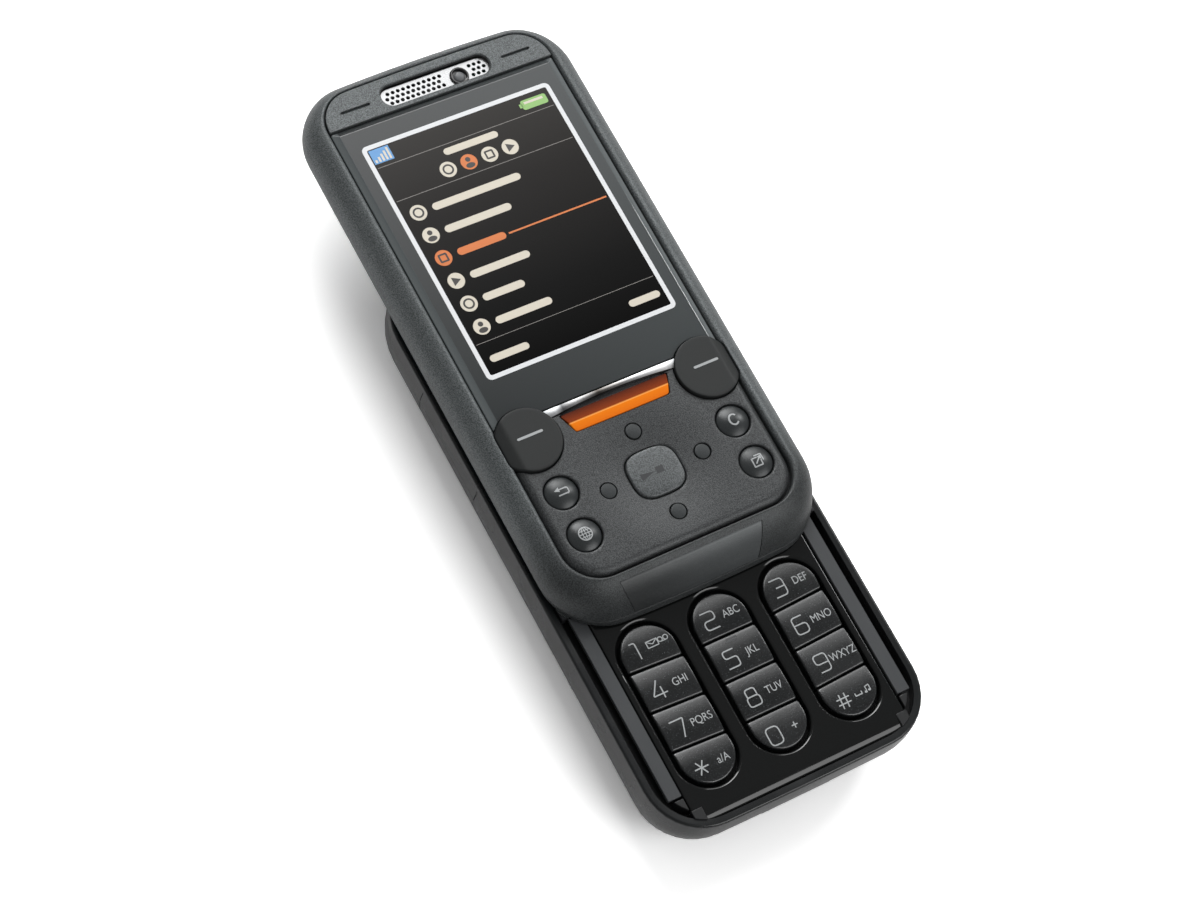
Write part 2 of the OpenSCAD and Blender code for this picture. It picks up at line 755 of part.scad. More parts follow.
// Ribbon cable between the halves: up through the deck, along the channel, over
// the rolling bend and back, and up through the carriage
module flex_cable() color("#c77b2a") {
    bend_r = (upper_z - flex_floor) / 2;
    translate([flex_w / 2, 0, 0]) rotate([90, 0, -90]) mirror([1, 0]) linear_extrude(flex_w) {
        translate([flex_low_y, board_top + 1]) square([flex_t, flex_floor - board_top - 1 + flex_t]);
        translate([flex_low_y, flex_floor]) square([flex_bend_y - flex_low_y, flex_t]);
        translate([flex_high_y, upper_z - flex_t]) square([flex_bend_y - flex_high_y, flex_t]);
        translate([flex_high_y, upper_z - flex_t])
            square([flex_t, upper_board_z - upper_z + flex_t]);
        translate([flex_bend_y, flex_floor + bend_r]) difference() {
            circle(r = bend_r);
            circle(r = bend_r - flex_t);
            translate([-2 * bend_r, -bend_r]) square(2 * bend_r);
        }
    }
}

// ------------------------------------------------------------------ upper half

module carriage_plan(g) {
    plan(2 * (leg_x + leg_t) + 2 * g, leg_y0 - g, leg_y0 + leg_l + 3 + g, 1.5);
}
module slide_carriage() color("#9da0a5") {
    foot_z = rail_top - rail_flange - slide_gap;
    translate([0, 0, upper_z]) linear_extrude(carriage_t) difference() {
        carriage_plan(0);
        translate([0, flex_high_y]) square([flex_w + 1, 1.6], center = true);
        for (y = [leg_y0 + 12, leg_y0 + leg_l - 9], s = [-1, 1])
            translate([s * (deck_w / 2 - 6.5), y]) pill(10, 5);
    }
    // legs reach down outside the rails and hook in under their flanges
    for (s = [0, 1]) mirror([s, 0, 0]) translate([0, leg_y0 + leg_l, 0]) rotate([90, 0, 0])
        linear_extrude(leg_l) {
            translate([leg_x, foot_z - 0.9]) square([leg_t, upper_z - foot_z + 0.9 + EPS]);
            translate([rail_x + rail_web + 0.25, foot_z - 0.9])
                square([leg_x - rail_x - rail_web - 0.25 + EPS, 0.9]);
        }
}

// Space inside the upper half, between z0 and z1
module upper_plan(t) {
    plan(upper_w - 2 * t, upper_y0 + 2.3 + t, upper_y1 - t - 0.1, corner_r - t);
}

module slider_rear_cover() color("#333437") {
    post_x = upper_w / 2 - 5.8;
    posts = [for (s = [-1, 1], y = [upper_y0 + 10, upper_y0 + 46, upper_y1 - 8]) [s * post_x, y]];
    difference() {
        intersection() {
            upper_form();
            translate([0, 0, upper_z]) block(FAR, 4 * FAR, 0, rear_t);
        }
        translate([0, 0, upper_z + carriage_t + 0.6]) linear_extrude(FAR) upper_plan(1.7);
        translate([0, 0, upper_z - 1]) linear_extrude(carriage_t + 1) carriage_plan(fit_gap);
        translate([0, flex_high_y, 0]) block(flex_w + 1, 1.6, 0, FAR);
    }
    for (p = posts) translate([p[0], p[1], upper_z + carriage_t + 0.5])
        cylinder(r = 1.4, h = upper_board_z - upper_z - carriage_t - 0.5);
}

module insert_plan(g) {
    plan(insert_w - 2 * g, insert_y0 + g, insert_y1 - g, insert_r - g);
}

// Trapezoid of the chin's inlay, grown by g
module inlay_plan(g) {
    translate([-0.7, 0]) polygon([
        [-12 - g, upper_y0 - 1], [9.9 + g, upper_y0 - 1],
        [11 + g, insert_y0 - 0.7 + g], [-11 - g, insert_y0 - 0.7 + g]
    ]);
}
inlay_t = 0.9;
module inlay_region(g) {
    difference() {
        translate([0, 0, upper_z + 1.4 - g]) linear_extrude(FAR) inlay_plan(g);
        translate([0, inlay_t + g - fit_gap, -inlay_t * 0.8]) upper_form();
        translate([0, insert_y0 + 4.3, 0]) block(FAR, 10, 0, FAR);
    }
}

module soft_cuts(z0) {
    for (s = [-1, 1]) translate([s * soft_x, soft_y, z0])
        intersection() {
            cylinder(r = soft_r + gap, h = FAR);
            translate([-s * soft_x, 0, 0]) block(insert_w + 0.9, FAR, -1, FAR + 2);
        }
}

module front_shell() color("#47484c") difference() {
    intersection() {
        upper_form();
        translate([0, 0, shell_z]) block(FAR, 4 * FAR, 0, FAR);
    }
    translate([0, 0, shell_z - 1]) linear_extrude(shelf_z - shell_z + 1) upper_plan(1.7);
    translate([0, 0, shelf_z - 1]) linear_extrude(FAR) plan(insert_w - 2.6,
        insert_y0 + 1.3, insert_y1 - 1.3, insert_r - 1.3);
    translate([0, 0, insert_z]) linear_extrude(FAR) insert_plan(0);
    soft_cuts(shelf_z - 1);
    inlay_region(fit_gap);
}

module end_inlay() color("#17181a") intersection() {
    upper_form();
    inlay_region(0);
}

module top_cap() color("#4b4c50") difference() {
    intersection() {
        translate([0, 0, insert_z]) linear_extrude(insert_t) insert_plan(fit_gap);
        translate([0, cap_y0 + 5, 0]) block(FAR, 10, 0, FAR);
    }
    translate([ear_x, ear_y, face_z - 1.2]) linear_extrude(FAR) pill(ear_w, ear_h);
    translate([ear_x, ear_y, 0]) linear_extrude(FAR) pill(ear_w - 1.6, ear_h - 1.6);
    translate([lens_x, lens_y, 0]) cylinder(r = lens_r + 0.1, h = FAR);
}

module speaker_grille() color("#d4d5d6") difference() {
    translate([ear_x, ear_y, face_z - 1.2]) linear_extrude(0.4)
        pill(ear_w - 2 * fit_gap, ear_h - 2 * fit_gap);
    translate([lens_x, lens_y, 0]) cylinder(r = lens_r + fit_gap, h = FAR);
    for (row = [-1:1]) {
        shift = row == 0 ? 0 : grille_pitch / 2;
        for (x = [-8.2:grille_pitch:1.6]) translate([x + shift, ear_y + row * 0.85, 0])
            cylinder(r = grille_hole_r, h = FAR, $fn = 16);
        for (i = [0:2]) translate([6.9 + i * grille_pitch - shift, ear_y + row * 0.85, 0])
            cylinder(r = grille_hole_r, h = FAR, $fn = 16);
    }
}

module earpiece() color("#242527") translate([0, 0, upper_board_top])
    linear_extrude(insert_z - upper_board_top) translate([-3.4, ear_y - 0.3])
        square([11.4, 4.6], center = true);

module front_camera() color("#0f0f11") translate([lens_x, lens_y, 0]) difference() {
    translate([0, 0, upper_board_top]) cylinder(r = lens_r, h = face_z - 0.6 - upper_board_top);
    translate([0, 0, face_z - 0.9]) cylinder(r1 = 0.8, r2 = 1.1, h = 0.31);
}

module display_window() color("#2b3036") difference() {
    translate([0, 0, insert_z]) linear_extrude(insert_t) intersection() {
        insert_plan(0.3);
        translate([0, (glass_y0 + glass_y1) / 2])
            square([FAR, glass_y1 - glass_y0], center = true);
    }
    // bevels along both sides and the top
    for (s = [0, 1]) mirror([s, 0, 0]) translate([insert_w / 2 - 0.3, 0, face_z - bevel / 2])
        rotate([0, -26.57, 0]) translate([0, -FAR, 0]) cube([FAR, 3 * FAR, FAR]);
    translate([0, glass_y1, face_z - bevel / 2]) rotate([26.57, 0, 0])
        translate([-FAR, 0, 0]) cube([2 * FAR, FAR, FAR]);
    soft_cuts(0);
}

screen_w = insert_w - 8.4;
screen_l = glass_y1 - glass_y0 - 12.8;
screen_y = glass_y0 + 7.9 + screen_l / 2;
module display_module() color("#101418") difference() {
    translate([0, screen_y, 0]) block(screen_w + 3.8, screen_l + 6, upper_board_top, insert_z);
    translate([0, screen_y, 0]) block(screen_w, screen_l, insert_z - 0.1, FAR);
}

module player_plan(g) {
    half = soft_x - soft_r - 1.1;
    polygon([
        [-half - g, nav_y1 - 1.7 + g], [half + g, nav_y1 - 1.7 + g],
        [half - 1.2 + g, nav_y1 - 4.9 - g], [1.2 - half - g, nav_y1 - 4.9 - g]
    ]);
}
module centre_plan(g) {
    plan(centre_w + 2 * g, centre_y - centre_l / 2 - g, centre_y + centre_l / 2 + g, 2.6 + g);
}

// Section of the key plate's rounded rim
nav_round = 1.4;
module nav_edge() {
    translate([0, insert_z]) square([insert_r - nav_round, insert_t]);
    translate([0, insert_z]) square([insert_r, insert_t - nav_round]);
    translate([insert_r - nav_round, face_z - nav_round]) circle(r = nav_round);
}
key_clear = 0.12;
module nav_plate() color("#434448") difference() {
    translate([0, 0, 0]) intersection() {
        swept(insert_w - 2 * fit_gap, insert_y0 + fit_gap, nav_y1 + 20, insert_r, insert_z,
            face_z) intersection() {
                nav_edge();
                translate([0, insert_z]) square([insert_r, insert_t]);
            }
        translate([-FAR / 2, nav_y1 - 2 * FAR, 0]) cube([FAR, 2 * FAR, FAR]);
    }
    // dish round the centre key
    dish_big = (dish_w_r * dish_w_r + dish_d * dish_d) / (2 * dish_d);
    translate([0, dish_y, face_z - dish_d + dish_big]) sphere(r = dish_big, $fn = 160);
    soft_cuts(0);
    linear_extrude(FAR) player_plan(key_clear);
    linear_extrude(FAR) centre_plan(key_clear);
    for (s = [-1, 1]) {
        for (y = round_y) translate([s * round_x, y, 0]) cylinder(r = round_r + key_clear, h = FAR);
        translate([s * dot_x, centre_y, 0]) cylinder(r = dot_r + key_clear, h = FAR);
        translate([0, centre_y + s * dot_y, 0]) cylinder(r = dot_r + key_clear, h = FAR);
    }
    // seat of the bright strip, and room beside the soft keys
    translate([0, nav_y1, 0]) block(2 * (soft_x - 3.4), 3.2, face_z - 0.8, FAR);
    for (s = [-1, 1]) translate([s * (soft_x + 3), nav_y1, 0])
        block(6, 2 * (nav_y1 - soft_y), 0, FAR);
}

module chrome_strip() color("#d9dadb") translate([0, 0, face_z - 0.8])
    linear_extrude(1) difference() {
        translate([3.9 - soft_x, nav_y1 - 1.55]) square([2 * (soft_x - 3.9), 1.5]);
        translate([0, nav_y1 - 1.05 - 80]) circle(r = 80, $fn = 720);
        for (s = [-1, 1]) translate([s * soft_x, soft_y]) circle(soft_r + gap);
    }

// Presses: domes on the upper board, one under each face key
FACE_KEYS = [
    [-soft_x + 1, soft_y], [soft_x - 1, soft_y], [0, nav_y1 - 3.3],
    [-round_x, round_y[0]], [round_x, round_y[0]], [-round_x, round_y[1]],
    [round_x, round_y[1]], [0, centre_y], [0, centre_y + dot_y], [0, centre_y - dot_y],
    [-dot_x, centre_y], [dot_x, centre_y]
];
module slider_board() color("#1f5a44") {
    translate([0, 0, upper_board_z]) linear_extrude(upper_board_t) upper_plan(2.1);
    for (k = FACE_KEYS) translate([k[0], k[1], upper_board_top]) snap_dome(1.3);
}

// A face key's stem under its lip, over dome number i
face_lip_z = insert_z - 0.7;
module stem(i) {
    bottom = upper_board_top + dome_h + key_travel + 0.05;
    translate([FACE_KEYS[i][0], FACE_KEYS[i][1], bottom])
        cylinder(r = 0.9, h = face_lip_z - bottom + EPS);
}
module lip(g = 0) {
    translate([0, 0, face_lip_z]) linear_extrude(0.6) children();
}

module soft_key(side, i) color("#3d3e42") {
    top = face_z + soft_rise;
    intersection() {
        translate([side * soft_x, soft_y, face_lip_z + 0.3]) cylinder(r = soft_r, h = FAR);
        // flat top that slopes down to the side
        rotate([90, 0, 0]) linear_extrude(2 * FAR, center = true) mirror([side < 0 ? 1 : 0, 0])
            polygon([
                [0, 0], [insert_w / 2 + 0.3, 0], [insert_w / 2 + 0.3, top - 0.8],
                [insert_w / 2 - 1.4, top], [soft_x - soft_r + 0.6, top],
                [soft_x - soft_r, top - 0.4], [0, top - 0.4]
            ]);
    }
    lip() intersection() {
        translate([side * soft_x, soft_y]) circle(soft_r + 0.4);
        translate([0, soft_y]) square([insert_w - 3, FAR], center = true);
    }
    stem(i);
}

module player_key() color("#d2731d") {
    intersection() {
        translate([0, 0, face_lip_z + 0.3]) linear_extrude(FAR) player_plan(0);
        // two facets that meet along a ridge
        translate([-FAR / 2, nav_y1 - 3.4, 0]) rotate([90, 0, 90]) linear_extrude(FAR)
            polygon([[-4, 0], [4, 0], [4, face_z - 0.5], [1.7, face_z - 0.1],
                     [0, face_z + 0.25], [-1.5, face_z - 0.15], [-4, face_z - 0.8]]);
    }
    lip() player_plan(0.5);
    stem(2);
}

module round_key(side, y, i) color("#3a3b3f") {
    big = draw_r(0.7, round_r);
    translate([side * round_x, y, 0]) intersection() {
        translate([0, 0, face_lip_z + 0.3]) cylinder(r = round_r, h = 5);
        translate([0, 0, face_z + 0.45 - big]) sphere(r = big);
    }
    lip() translate([side * round_x, y]) circle(round_r + 0.4);
    stem(i);
}

module centre_key() color("#6a6b6f") {
    intersection() {
        translate([0, 0, face_lip_z + 0.3]) linear_extrude(5) centre_plan(0);
        translate([0, centre_y, face_z - 0.3 - 60]) sphere(r = 60, $fn = 160);
    }
    lip() centre_plan(0.4);
    stem(7);
}

module nav_dot(x, y, i) color("#8a8b8e") {
    big = draw_r(0.3, dot_r);
    translate([x, centre_y + y, 0]) intersection() {
        translate([0, 0, face_lip_z + 0.3]) cylinder(r = dot_r, h = 5);
        translate([0, 0, face_z - 0.1 - big]) sphere(r = big);
    }
    lip() translate([x, centre_y + y]) circle(dot_r + 0.3);
    stem(i);
}

rear_housing();
battery_cover();
keypad_plate();
slide_rails();
main_board();
shield_cans();
dome_sheet();
battery();
sim_holder();
card_socket();
memory_card();
card_door();
rear_camera();
camera_window();
loudspeaker();
vibration_motor();
antenna();
system_connector();
housing_screws();
volume_rocker();
camera_key();
power_key();
number_key(-1, 0);  // key_1
number_key(0, 0);  // key_2
number_key(1, 0);  // key_3
number_key(-1, 1);  // key_4
number_key(0, 1);  // key_5
number_key(1, 1);  // key_6
number_key(-1, 2);  // key_7
number_key(0, 2);  // key_8
number_key(1, 2);  // key_9
number_key(-1, 3);  // key_star
number_key(0, 3);  // key_0
number_key(1, 3);  // key_hash
flex_cable();
slide_carriage();
slider_rear_cover();
front_shell();
end_inlay();
top_cap();
speaker_grille();
earpiece();
front_camera();
display_window();
display_module();
nav_plate();
chrome_strip();
slider_board();
soft_key(-1, 0);  // left_soft_key
soft_key(1, 1);  // right_soft_key
player_key();
round_key(-1, round_y[0], 3);  // back_key
round_key(1, round_y[0], 4);  // clear_key
round_key(-1, round_y[1], 5);  // web_key
round_key(1, round_y[1], 6);  // menu_key
centre_key();
nav_dot(0, dot_y, 8);  // nav_up
nav_dot(0, -dot_y, 9);  // nav_down
nav_dot(-dot_x, 0, 10);  // nav_left
nav_dot(dot_x, 0, 11);  // nav_right
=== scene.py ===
import json
import math

import bmesh
import bpy
import numpy as np
from mathutils import Matrix, Vector

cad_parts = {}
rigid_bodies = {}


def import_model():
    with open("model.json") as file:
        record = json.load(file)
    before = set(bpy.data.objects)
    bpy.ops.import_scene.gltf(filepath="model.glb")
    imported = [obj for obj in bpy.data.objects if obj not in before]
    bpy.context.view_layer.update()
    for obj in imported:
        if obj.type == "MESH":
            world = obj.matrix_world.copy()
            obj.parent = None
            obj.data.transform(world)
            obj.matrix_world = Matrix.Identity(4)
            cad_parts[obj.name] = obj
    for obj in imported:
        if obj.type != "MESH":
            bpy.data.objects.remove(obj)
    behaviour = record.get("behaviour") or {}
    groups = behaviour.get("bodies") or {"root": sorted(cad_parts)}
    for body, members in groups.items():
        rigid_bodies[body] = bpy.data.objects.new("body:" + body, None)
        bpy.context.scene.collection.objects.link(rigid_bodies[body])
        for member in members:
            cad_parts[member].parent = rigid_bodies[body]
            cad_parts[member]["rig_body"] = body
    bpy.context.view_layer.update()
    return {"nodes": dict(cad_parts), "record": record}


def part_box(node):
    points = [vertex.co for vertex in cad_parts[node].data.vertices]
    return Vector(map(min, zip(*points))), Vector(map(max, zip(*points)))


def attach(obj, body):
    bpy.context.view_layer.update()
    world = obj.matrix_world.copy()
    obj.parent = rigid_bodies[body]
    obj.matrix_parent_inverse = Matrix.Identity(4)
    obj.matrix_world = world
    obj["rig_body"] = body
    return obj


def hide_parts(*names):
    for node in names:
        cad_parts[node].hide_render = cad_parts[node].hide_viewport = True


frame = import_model()

MM = 0.001
PI = math.pi


def new_object(name, data):
    """A new object in the scene."""
    item = bpy.data.objects.new(name, data)
    bpy.context.scene.collection.objects.link(item)
    return item


# ------------------------------------------------------------------------ camera

# Fitted to the photograph; millimetres in the phone's own frame
EYE = Vector((-163.97, -128.32, 398.33))
LOOK_AT = Vector((-6.27, -7.24, 20.4))
PICTURE_UP = Vector((0.5312, 0.9694, 0))
FOCAL_LENGTH, SENSOR_WIDTH = 87.36, 36


def add_camera():
    """Camera at the photograph's place: it looks from EYE to LOOK_AT with PICTURE_UP upwards."""
    forward = (LOOK_AT - EYE).normalized()
    right = forward.cross(PICTURE_UP).normalized()
    up = right.cross(forward)
    data = bpy.data.cameras.new("camera")
    data.lens = FOCAL_LENGTH
    data.sensor_width = SENSOR_WIDTH
    data.clip_start = 0.01
    data.clip_end = 20
    camera = new_object("camera", data)
    turn = Matrix((right, up, -forward)).transposed().to_4x4()
    camera.matrix_world = Matrix.Translation(EYE * MM) @ turn
    bpy.context.scene.camera = camera


add_camera()
bpy.context.scene.view_settings.view_transform = "Standard"

# ------------------------------------------------------- sizes read from the frame


def corners(node):
    """Lowest and highest corner of a CAD node, in millimetres."""
    low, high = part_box(node)
    return np.array(low) / MM, np.array(high) / MM


SHELL_LOW, SHELL_HIGH = corners("front_shell")
REAR_LOW, REAR_HIGH = corners("slider_rear_cover")
GLASS_LOW, GLASS_HIGH = corners("display_window")
CAP_LOW, CAP_HIGH = corners("top_cap")
NAV_LOW, NAV_HIGH = corners("nav_plate")
DECK_LOW, DECK_HIGH = corners("keypad_plate")
HOUSE_LOW, HOUSE_HIGH = corners("rear_housing")
SOFT_LOW, SOFT_HIGH = corners("right_soft_key")
SCREW_LOW, SCREW_HIGH = corners("housing_screws")

# Heights: the face, the shelf that the glass lies on, and the upper half's widest line
FACE_Z = SHELL_HIGH[2]
INSERT_Z = GLASS_LOW[2]
BELLY_Z = REAR_LOW[2] + 2

# Opening in the face, its corners, and the groove round what lies in it
INSERT_HALF = NAV_HIGH[0]
INSERT_R = 6
INSERT_TOP_R = 5.45
GROOVE = 0.12

# ----------------------------------------------------------------- mesh from loops


def make(name, form, slot, body, finish, sharp=40):
    """A piece from its form, which is its points in millimetres and its faces. It rides on a
    body and takes a finish."""
    points, faces = form
    mesh = bpy.data.meshes.new(name)
    mesh.from_pydata((np.asarray(points) * MM).tolist(), [], faces)
    mesh.validate()
    piece = new_object(name, mesh)
    dress(piece, slot, body, finish, sharp)
    return piece


def smooth(piece, sharp):
    """Smooth shading with edges sharp past an angle."""
    piece.data.shade_smooth()
    piece.data.set_sharp_from_angle(angle=math.radians(sharp))


def dress(piece, slot, body, finish, sharp):
    """Gives a piece its body, finish and smooth shading; the slot is not used."""
    smooth(piece, sharp)
    piece.data.materials.clear()
    piece.data.materials.append(finish)
    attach(piece, body)


def grid_faces(rows, columns, wrap, first=0):
    """Quads that join neighbouring rows of a grid, whose columns close on themselves if wrap."""
    row, column = np.meshgrid(np.arange(rows - 1), np.arange(columns if wrap else columns - 1),
                              indexing="ij")
    after = (column + 1) % columns
    quads = np.stack([row * columns + column, row * columns + after,
                      (row + 1) * columns + after, (row + 1) * columns + column], -1)
    return (quads.reshape(-1, 4) + first).tolist()


def stack(loops):
    """Loops of (outline, height) as one array of rings; a height is a number or one per point."""
    return np.stack([np.column_stack([xy, np.broadcast_to(z, len(xy))]) for xy, z in loops])


def lofted(loops, closed=False):
    """Points and faces of a surface through rings. Closed joins the last ring to the first,
    and otherwise both ends are capped."""
    rings = stack(loops)
    count, size = rings.shape[:2]
    if closed:
        rings = np.concatenate([rings, rings[:1]])
        faces = grid_faces(count + 1, size, True)
        total = count * size
        faces = [[i % total for i in face] for face in faces]
        return rings[:-1].reshape(-1, 3), faces
    faces = grid_faces(count, size, True)
    faces.append(list(range(size))[::-1])
    faces.append(list(range((count - 1) * size, count * size)))
    return rings.reshape(-1, 3), faces


def rounded(half, y0, y1, low_r, high_r, bow=(0, 0), turn=14, side=40, end=24):
    """Rounded rectangle as a function of how far it is drawn in: arcs of low_r at the bottom
    corners and high_r at the top ones, joined by straight runs, anticlockwise. Its ends bow
    in by bow at the corners, with the square of x."""
    def outline(shrink=0):
        w, lo, hi = half - shrink, y0 + shrink, y1 - shrink
        rl, rh = max(low_r - shrink, 0.02), max(high_r - shrink, 0.02)
        parts = []
        spots = [(w - rl, lo + rl, rl, -0.5), (w - rh, hi - rh, rh, 0),
                 (rh - w, hi - rh, rh, 0.5), (rl - w, lo + rl, rl, 1)]
        arcs = []
        for x, y, r, start in spots:
            a = (start + np.linspace(0, 0.5, turn)) * PI
            arcs.append(np.column_stack([x + r * np.cos(a), y + r * np.sin(a)]))
        for i, arc in enumerate(arcs):
            arc[:, 1] += (bow[0] if i in (0, 3) else -bow[1]) * (arc[:, 0] / w) ** 2
        for i, arc in enumerate(arcs):
            parts.append(arc)
            after = arcs[(i + 1) % 4]
            share = np.linspace(0, 1, side if i % 2 == 0 else end)[1:-1, None]
            run = arc[-1] + (after[0] - arc[-1]) * share
            if i % 2:
                sag = (run[:, 0] / w) ** 2
                run[:, 1] = (hi - bow[1] * sag) if i == 1 else (lo + bow[0] * sag)
            parts.append(run)
        return np.concatenate(parts)
    return outline


def rays(limits, centre=(0, 0), count=96, hardness=28):
    """Star-shaped outline about a centre, as a function of how far it is drawn in: along each
    ray, the soft minimum of the distances at which the ray leaves the limits."""
    def outline(shrink=0):
        a = np.linspace(0, 2 * PI, count, endpoint=False)
        c, s = np.cos(a), np.sin(a)
        reach = np.stack([limit(c, s, shrink) for limit in limits])
        soft = np.sum(reach ** -float(hardness), 0) ** (-1 / hardness)
        return np.column_stack([centre[0] + soft * c, centre[1] + soft * s])
    return outline


def edge_line(nx, ny, away):
    """Limit for rays(): a straight edge at a distance from the centre, across (nx, ny)."""
    def limit(c, s, shrink):
        across = nx * c + ny * s
        return np.where(across > 1e-6, (away - shrink) / np.maximum(across, 1e-6), 1e6)
    return limit


def edge_arc(x, y, r):
    """Limit for rays(): the inside of a circle that holds the centre."""
    def limit(c, s, shrink):
        b = x * c + y * s
        return b + np.sqrt(np.maximum(b * b - x * x - y * y + (r - shrink) ** 2, 1e-9))
    return limit


def edge_capsule(half, up, down):
    """Limit for rays(): straight sides at half, with round ends centred on up and down."""
    def limit(c, s, shrink):
        w = half - shrink
        side = w / np.maximum(np.abs(c), 1e-6)
        result = side
        for end, sign in ((up, 1), (down, -1)):
            b = end * s
            arc = b + np.sqrt(np.maximum(b * b - end * end + w * w, 1e-9))
            result = np.where(sign * side * s > sign * end, arc, result)
        return result
    return limit


def heights(top, xy):
    """Heights of the surface top(x, y) at points."""
    return top(xy[:, 0], xy[:, 1])


def topped(loops, top, rings):
    """Points and faces of a pad through loops, whose top runs on shrinking rings from the last
    loop to its middle."""
    inner = loops[-1][0]
    centre = (inner.max(0) + inner.min(0)) / 2
    for share in np.linspace(1, 0, rings + 1)[1:-1]:
        xy = centre + (inner - centre) * share
        loops.append((xy, heights(top, xy)))
    points = stack(loops)
    count, size = points.shape[:2]
    faces = grid_faces(count, size, True)
    faces.append(list(range(size))[::-1])
    last = (count - 1) * size
    faces += [[last + i, last + (i + 1) % size, count * size] for i in range(size)]
    middle = [*centre, float(heights(top, centre[None])[0])]
    return np.concatenate([points.reshape(-1, 3), [middle]]), faces


def pad_points(outline, top, low, edge, rings=8):
    """Points and faces of a closed pad: a wall from low, a quarter-round edge and a top on
    shrinking rings, where top(x, y) is the height."""
    loops = [(outline(0), low)]
    for a in np.linspace(0, PI / 2, 7):
        xy = outline(edge * (1 - math.cos(a)))
        loops.append((xy, heights(top, xy) - edge * (1 - math.sin(a))))
    return topped(loops, top, rings)


def rim_pad(outline, top, low, edge, level_from, rings, small=0.15):
    """Like pad_points, but the quarter round shrinks from edge to small above level_from, so
    that the end which meets the glass stays crisp."""
    base = outline(0)
    fade = np.clip((level_from - base[:, 1]) / 1.2, 0, 1)
    loops = [(base, low)]
    for a in np.linspace(0, PI / 2, 10):
        inset = 1 - math.cos(a)
        wide, narrow = outline(edge * inset), outline(small * inset)
        xy = narrow + (wide - narrow) * fade[:, None]
        size = small + (edge - small) * fade
        loops.append((xy, heights(top, xy) - size * (1 - math.sin(a))))
    return topped(loops, top, rings)


def flat(z):
    """A level top for pads and cutters."""
    return lambda x, y: np.full(np.shape(x), float(z))


def cutter_points(outline, top, low, edge, above=3.0):
    """Points and faces of a tool that cuts a hole whose rim is rounded by edge: the quarter
    round opens outwards and runs out just above the surface top(x, y)."""
    loops = [(outline(0), low)]
    for a in np.linspace(0, PI * 0.42, 6):
        xy = outline(-edge * (1 - math.cos(a)))
        loops.append((xy, heights(top, xy) - edge * (1 - math.sin(a))))
    xy = outline(-edge)
    loops.append((xy, heights(top, xy) + 0.04 + 0.02 * edge))
    loops.append((xy, float(heights(top, xy).max()) + above))
    return lofted(loops)


def joined(parts):
    """Points and faces of several parts together."""
    points, faces, count = [], [], 0
    for part, sides in parts:
        points.append(np.asarray(part))
        faces += [[i + count for i in side] for side in sides]
        count += len(part)
    return np.concatenate(points), faces


def cut(piece, tools, operation="DIFFERENCE"):
    """Takes tools away from a piece, or keeps what lies in them with INTERSECT. Each tool is
    given as points and faces. Tools that are cut in one go don't touch each other."""
    points, faces = joined(tools)
    mesh = bpy.data.meshes.new("tool")
    mesh.from_pydata((points * MM).tolist(), [], faces)
    tool = new_object("tool", mesh)
    step = piece.modifiers.new("cut", "BOOLEAN")
    step.operation = operation
    step.solver = "EXACT"
    step.object = tool
    bpy.context.view_layer.update()
    result = bpy.data.meshes.new_from_object(
        piece.evaluated_get(bpy.context.evaluated_depsgraph_get()))
    piece.modifiers.clear()
    piece.data = result
    bpy.data.objects.remove(tool)


def cut_each(piece, tools):
    """Takes tools away from a piece, one after another."""
    for tool in tools:
        cut(piece, [tool])


def box_tool(low, high):
    """Points and faces of a box between two corners."""
    points = [[(low, high)[i >> k & 1][k] for k in range(3)] for i in range(8)]
    faces = [[0, 2, 3, 1], [4, 5, 7, 6], [0, 1, 5, 4], [2, 6, 7, 3], [0, 4, 6, 2], [1, 3, 7, 5]]
    return np.array(points, float), faces


def even_shading(piece, weight):
    """Shades a piece by the area of its faces: the more weight, the flatter its flat parts."""
    step = piece.modifiers.new("even shading", "WEIGHTED_NORMAL")
    step.keep_sharp = True
    step.weight = weight


def flat_shading(piece, sharp=40):
    """Shades a cut piece so that its flat parts look flat."""
    smooth(piece, sharp)
    even_shading(piece, 80)


def round_edges(piece, width, angle):
    """Rounds the edges of a piece that are sharper than an angle."""
    step = piece.modifiers.new("rounded edges", "BEVEL")
    step.width = width * MM
    step.segments = 2
    step.limit_method = "ANGLE"
    step.angle_limit = math.radians(angle)


def from_cad(node, slot, finish, bevel, sharp=35):
    """A copy of a CAD node with its corners merged and its edges rounded a little."""
    source = frame["nodes"][node]
    work = bmesh.new()
    work.from_mesh(source.data)
    bmesh.ops.remove_doubles(work, verts=work.verts, dist=0.002 * MM)
    bmesh.ops.dissolve_limit(work, angle_limit=math.radians(0.4), verts=work.verts,
                             edges=work.edges)
    mesh = bpy.data.meshes.new(node + "_piece")
    work.to_mesh(mesh)
    work.free()
    piece = new_object(node + "_piece", mesh)
    dress(piece, slot, source["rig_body"], finish, sharp)
    if bevel:
        round_edges(piece, bevel, sharp)
    even_shading(piece, 50)
    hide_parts(node)


# ---------------------------------------------------------------------- finishes


def linear(r, g, b):
    """A colour given as on a screen, 0 to 255, as the shader wants it."""
    share = np.array([r, g, b]) / 255
    return [*np.where(share <= 0.04045, share / 12.92, ((share + 0.055) / 1.055) ** 2.4), 1]


def set_inputs(tree, node, inputs):
    """Sets inputs of a shader node to values, or joins them to the sockets given for them."""
    for name, value in inputs.items():
        if isinstance(value, bpy.types.NodeSocket):
            tree.links.new(value, node.inputs[name])
        else:
            node.inputs[name].default_value = value


def add_node(tree, kind, inputs=None):
    """A new shader node in a tree, with its inputs set."""
    node = tree.nodes.new("ShaderNode" + kind)
    set_inputs(tree, node, inputs or {})
    return node


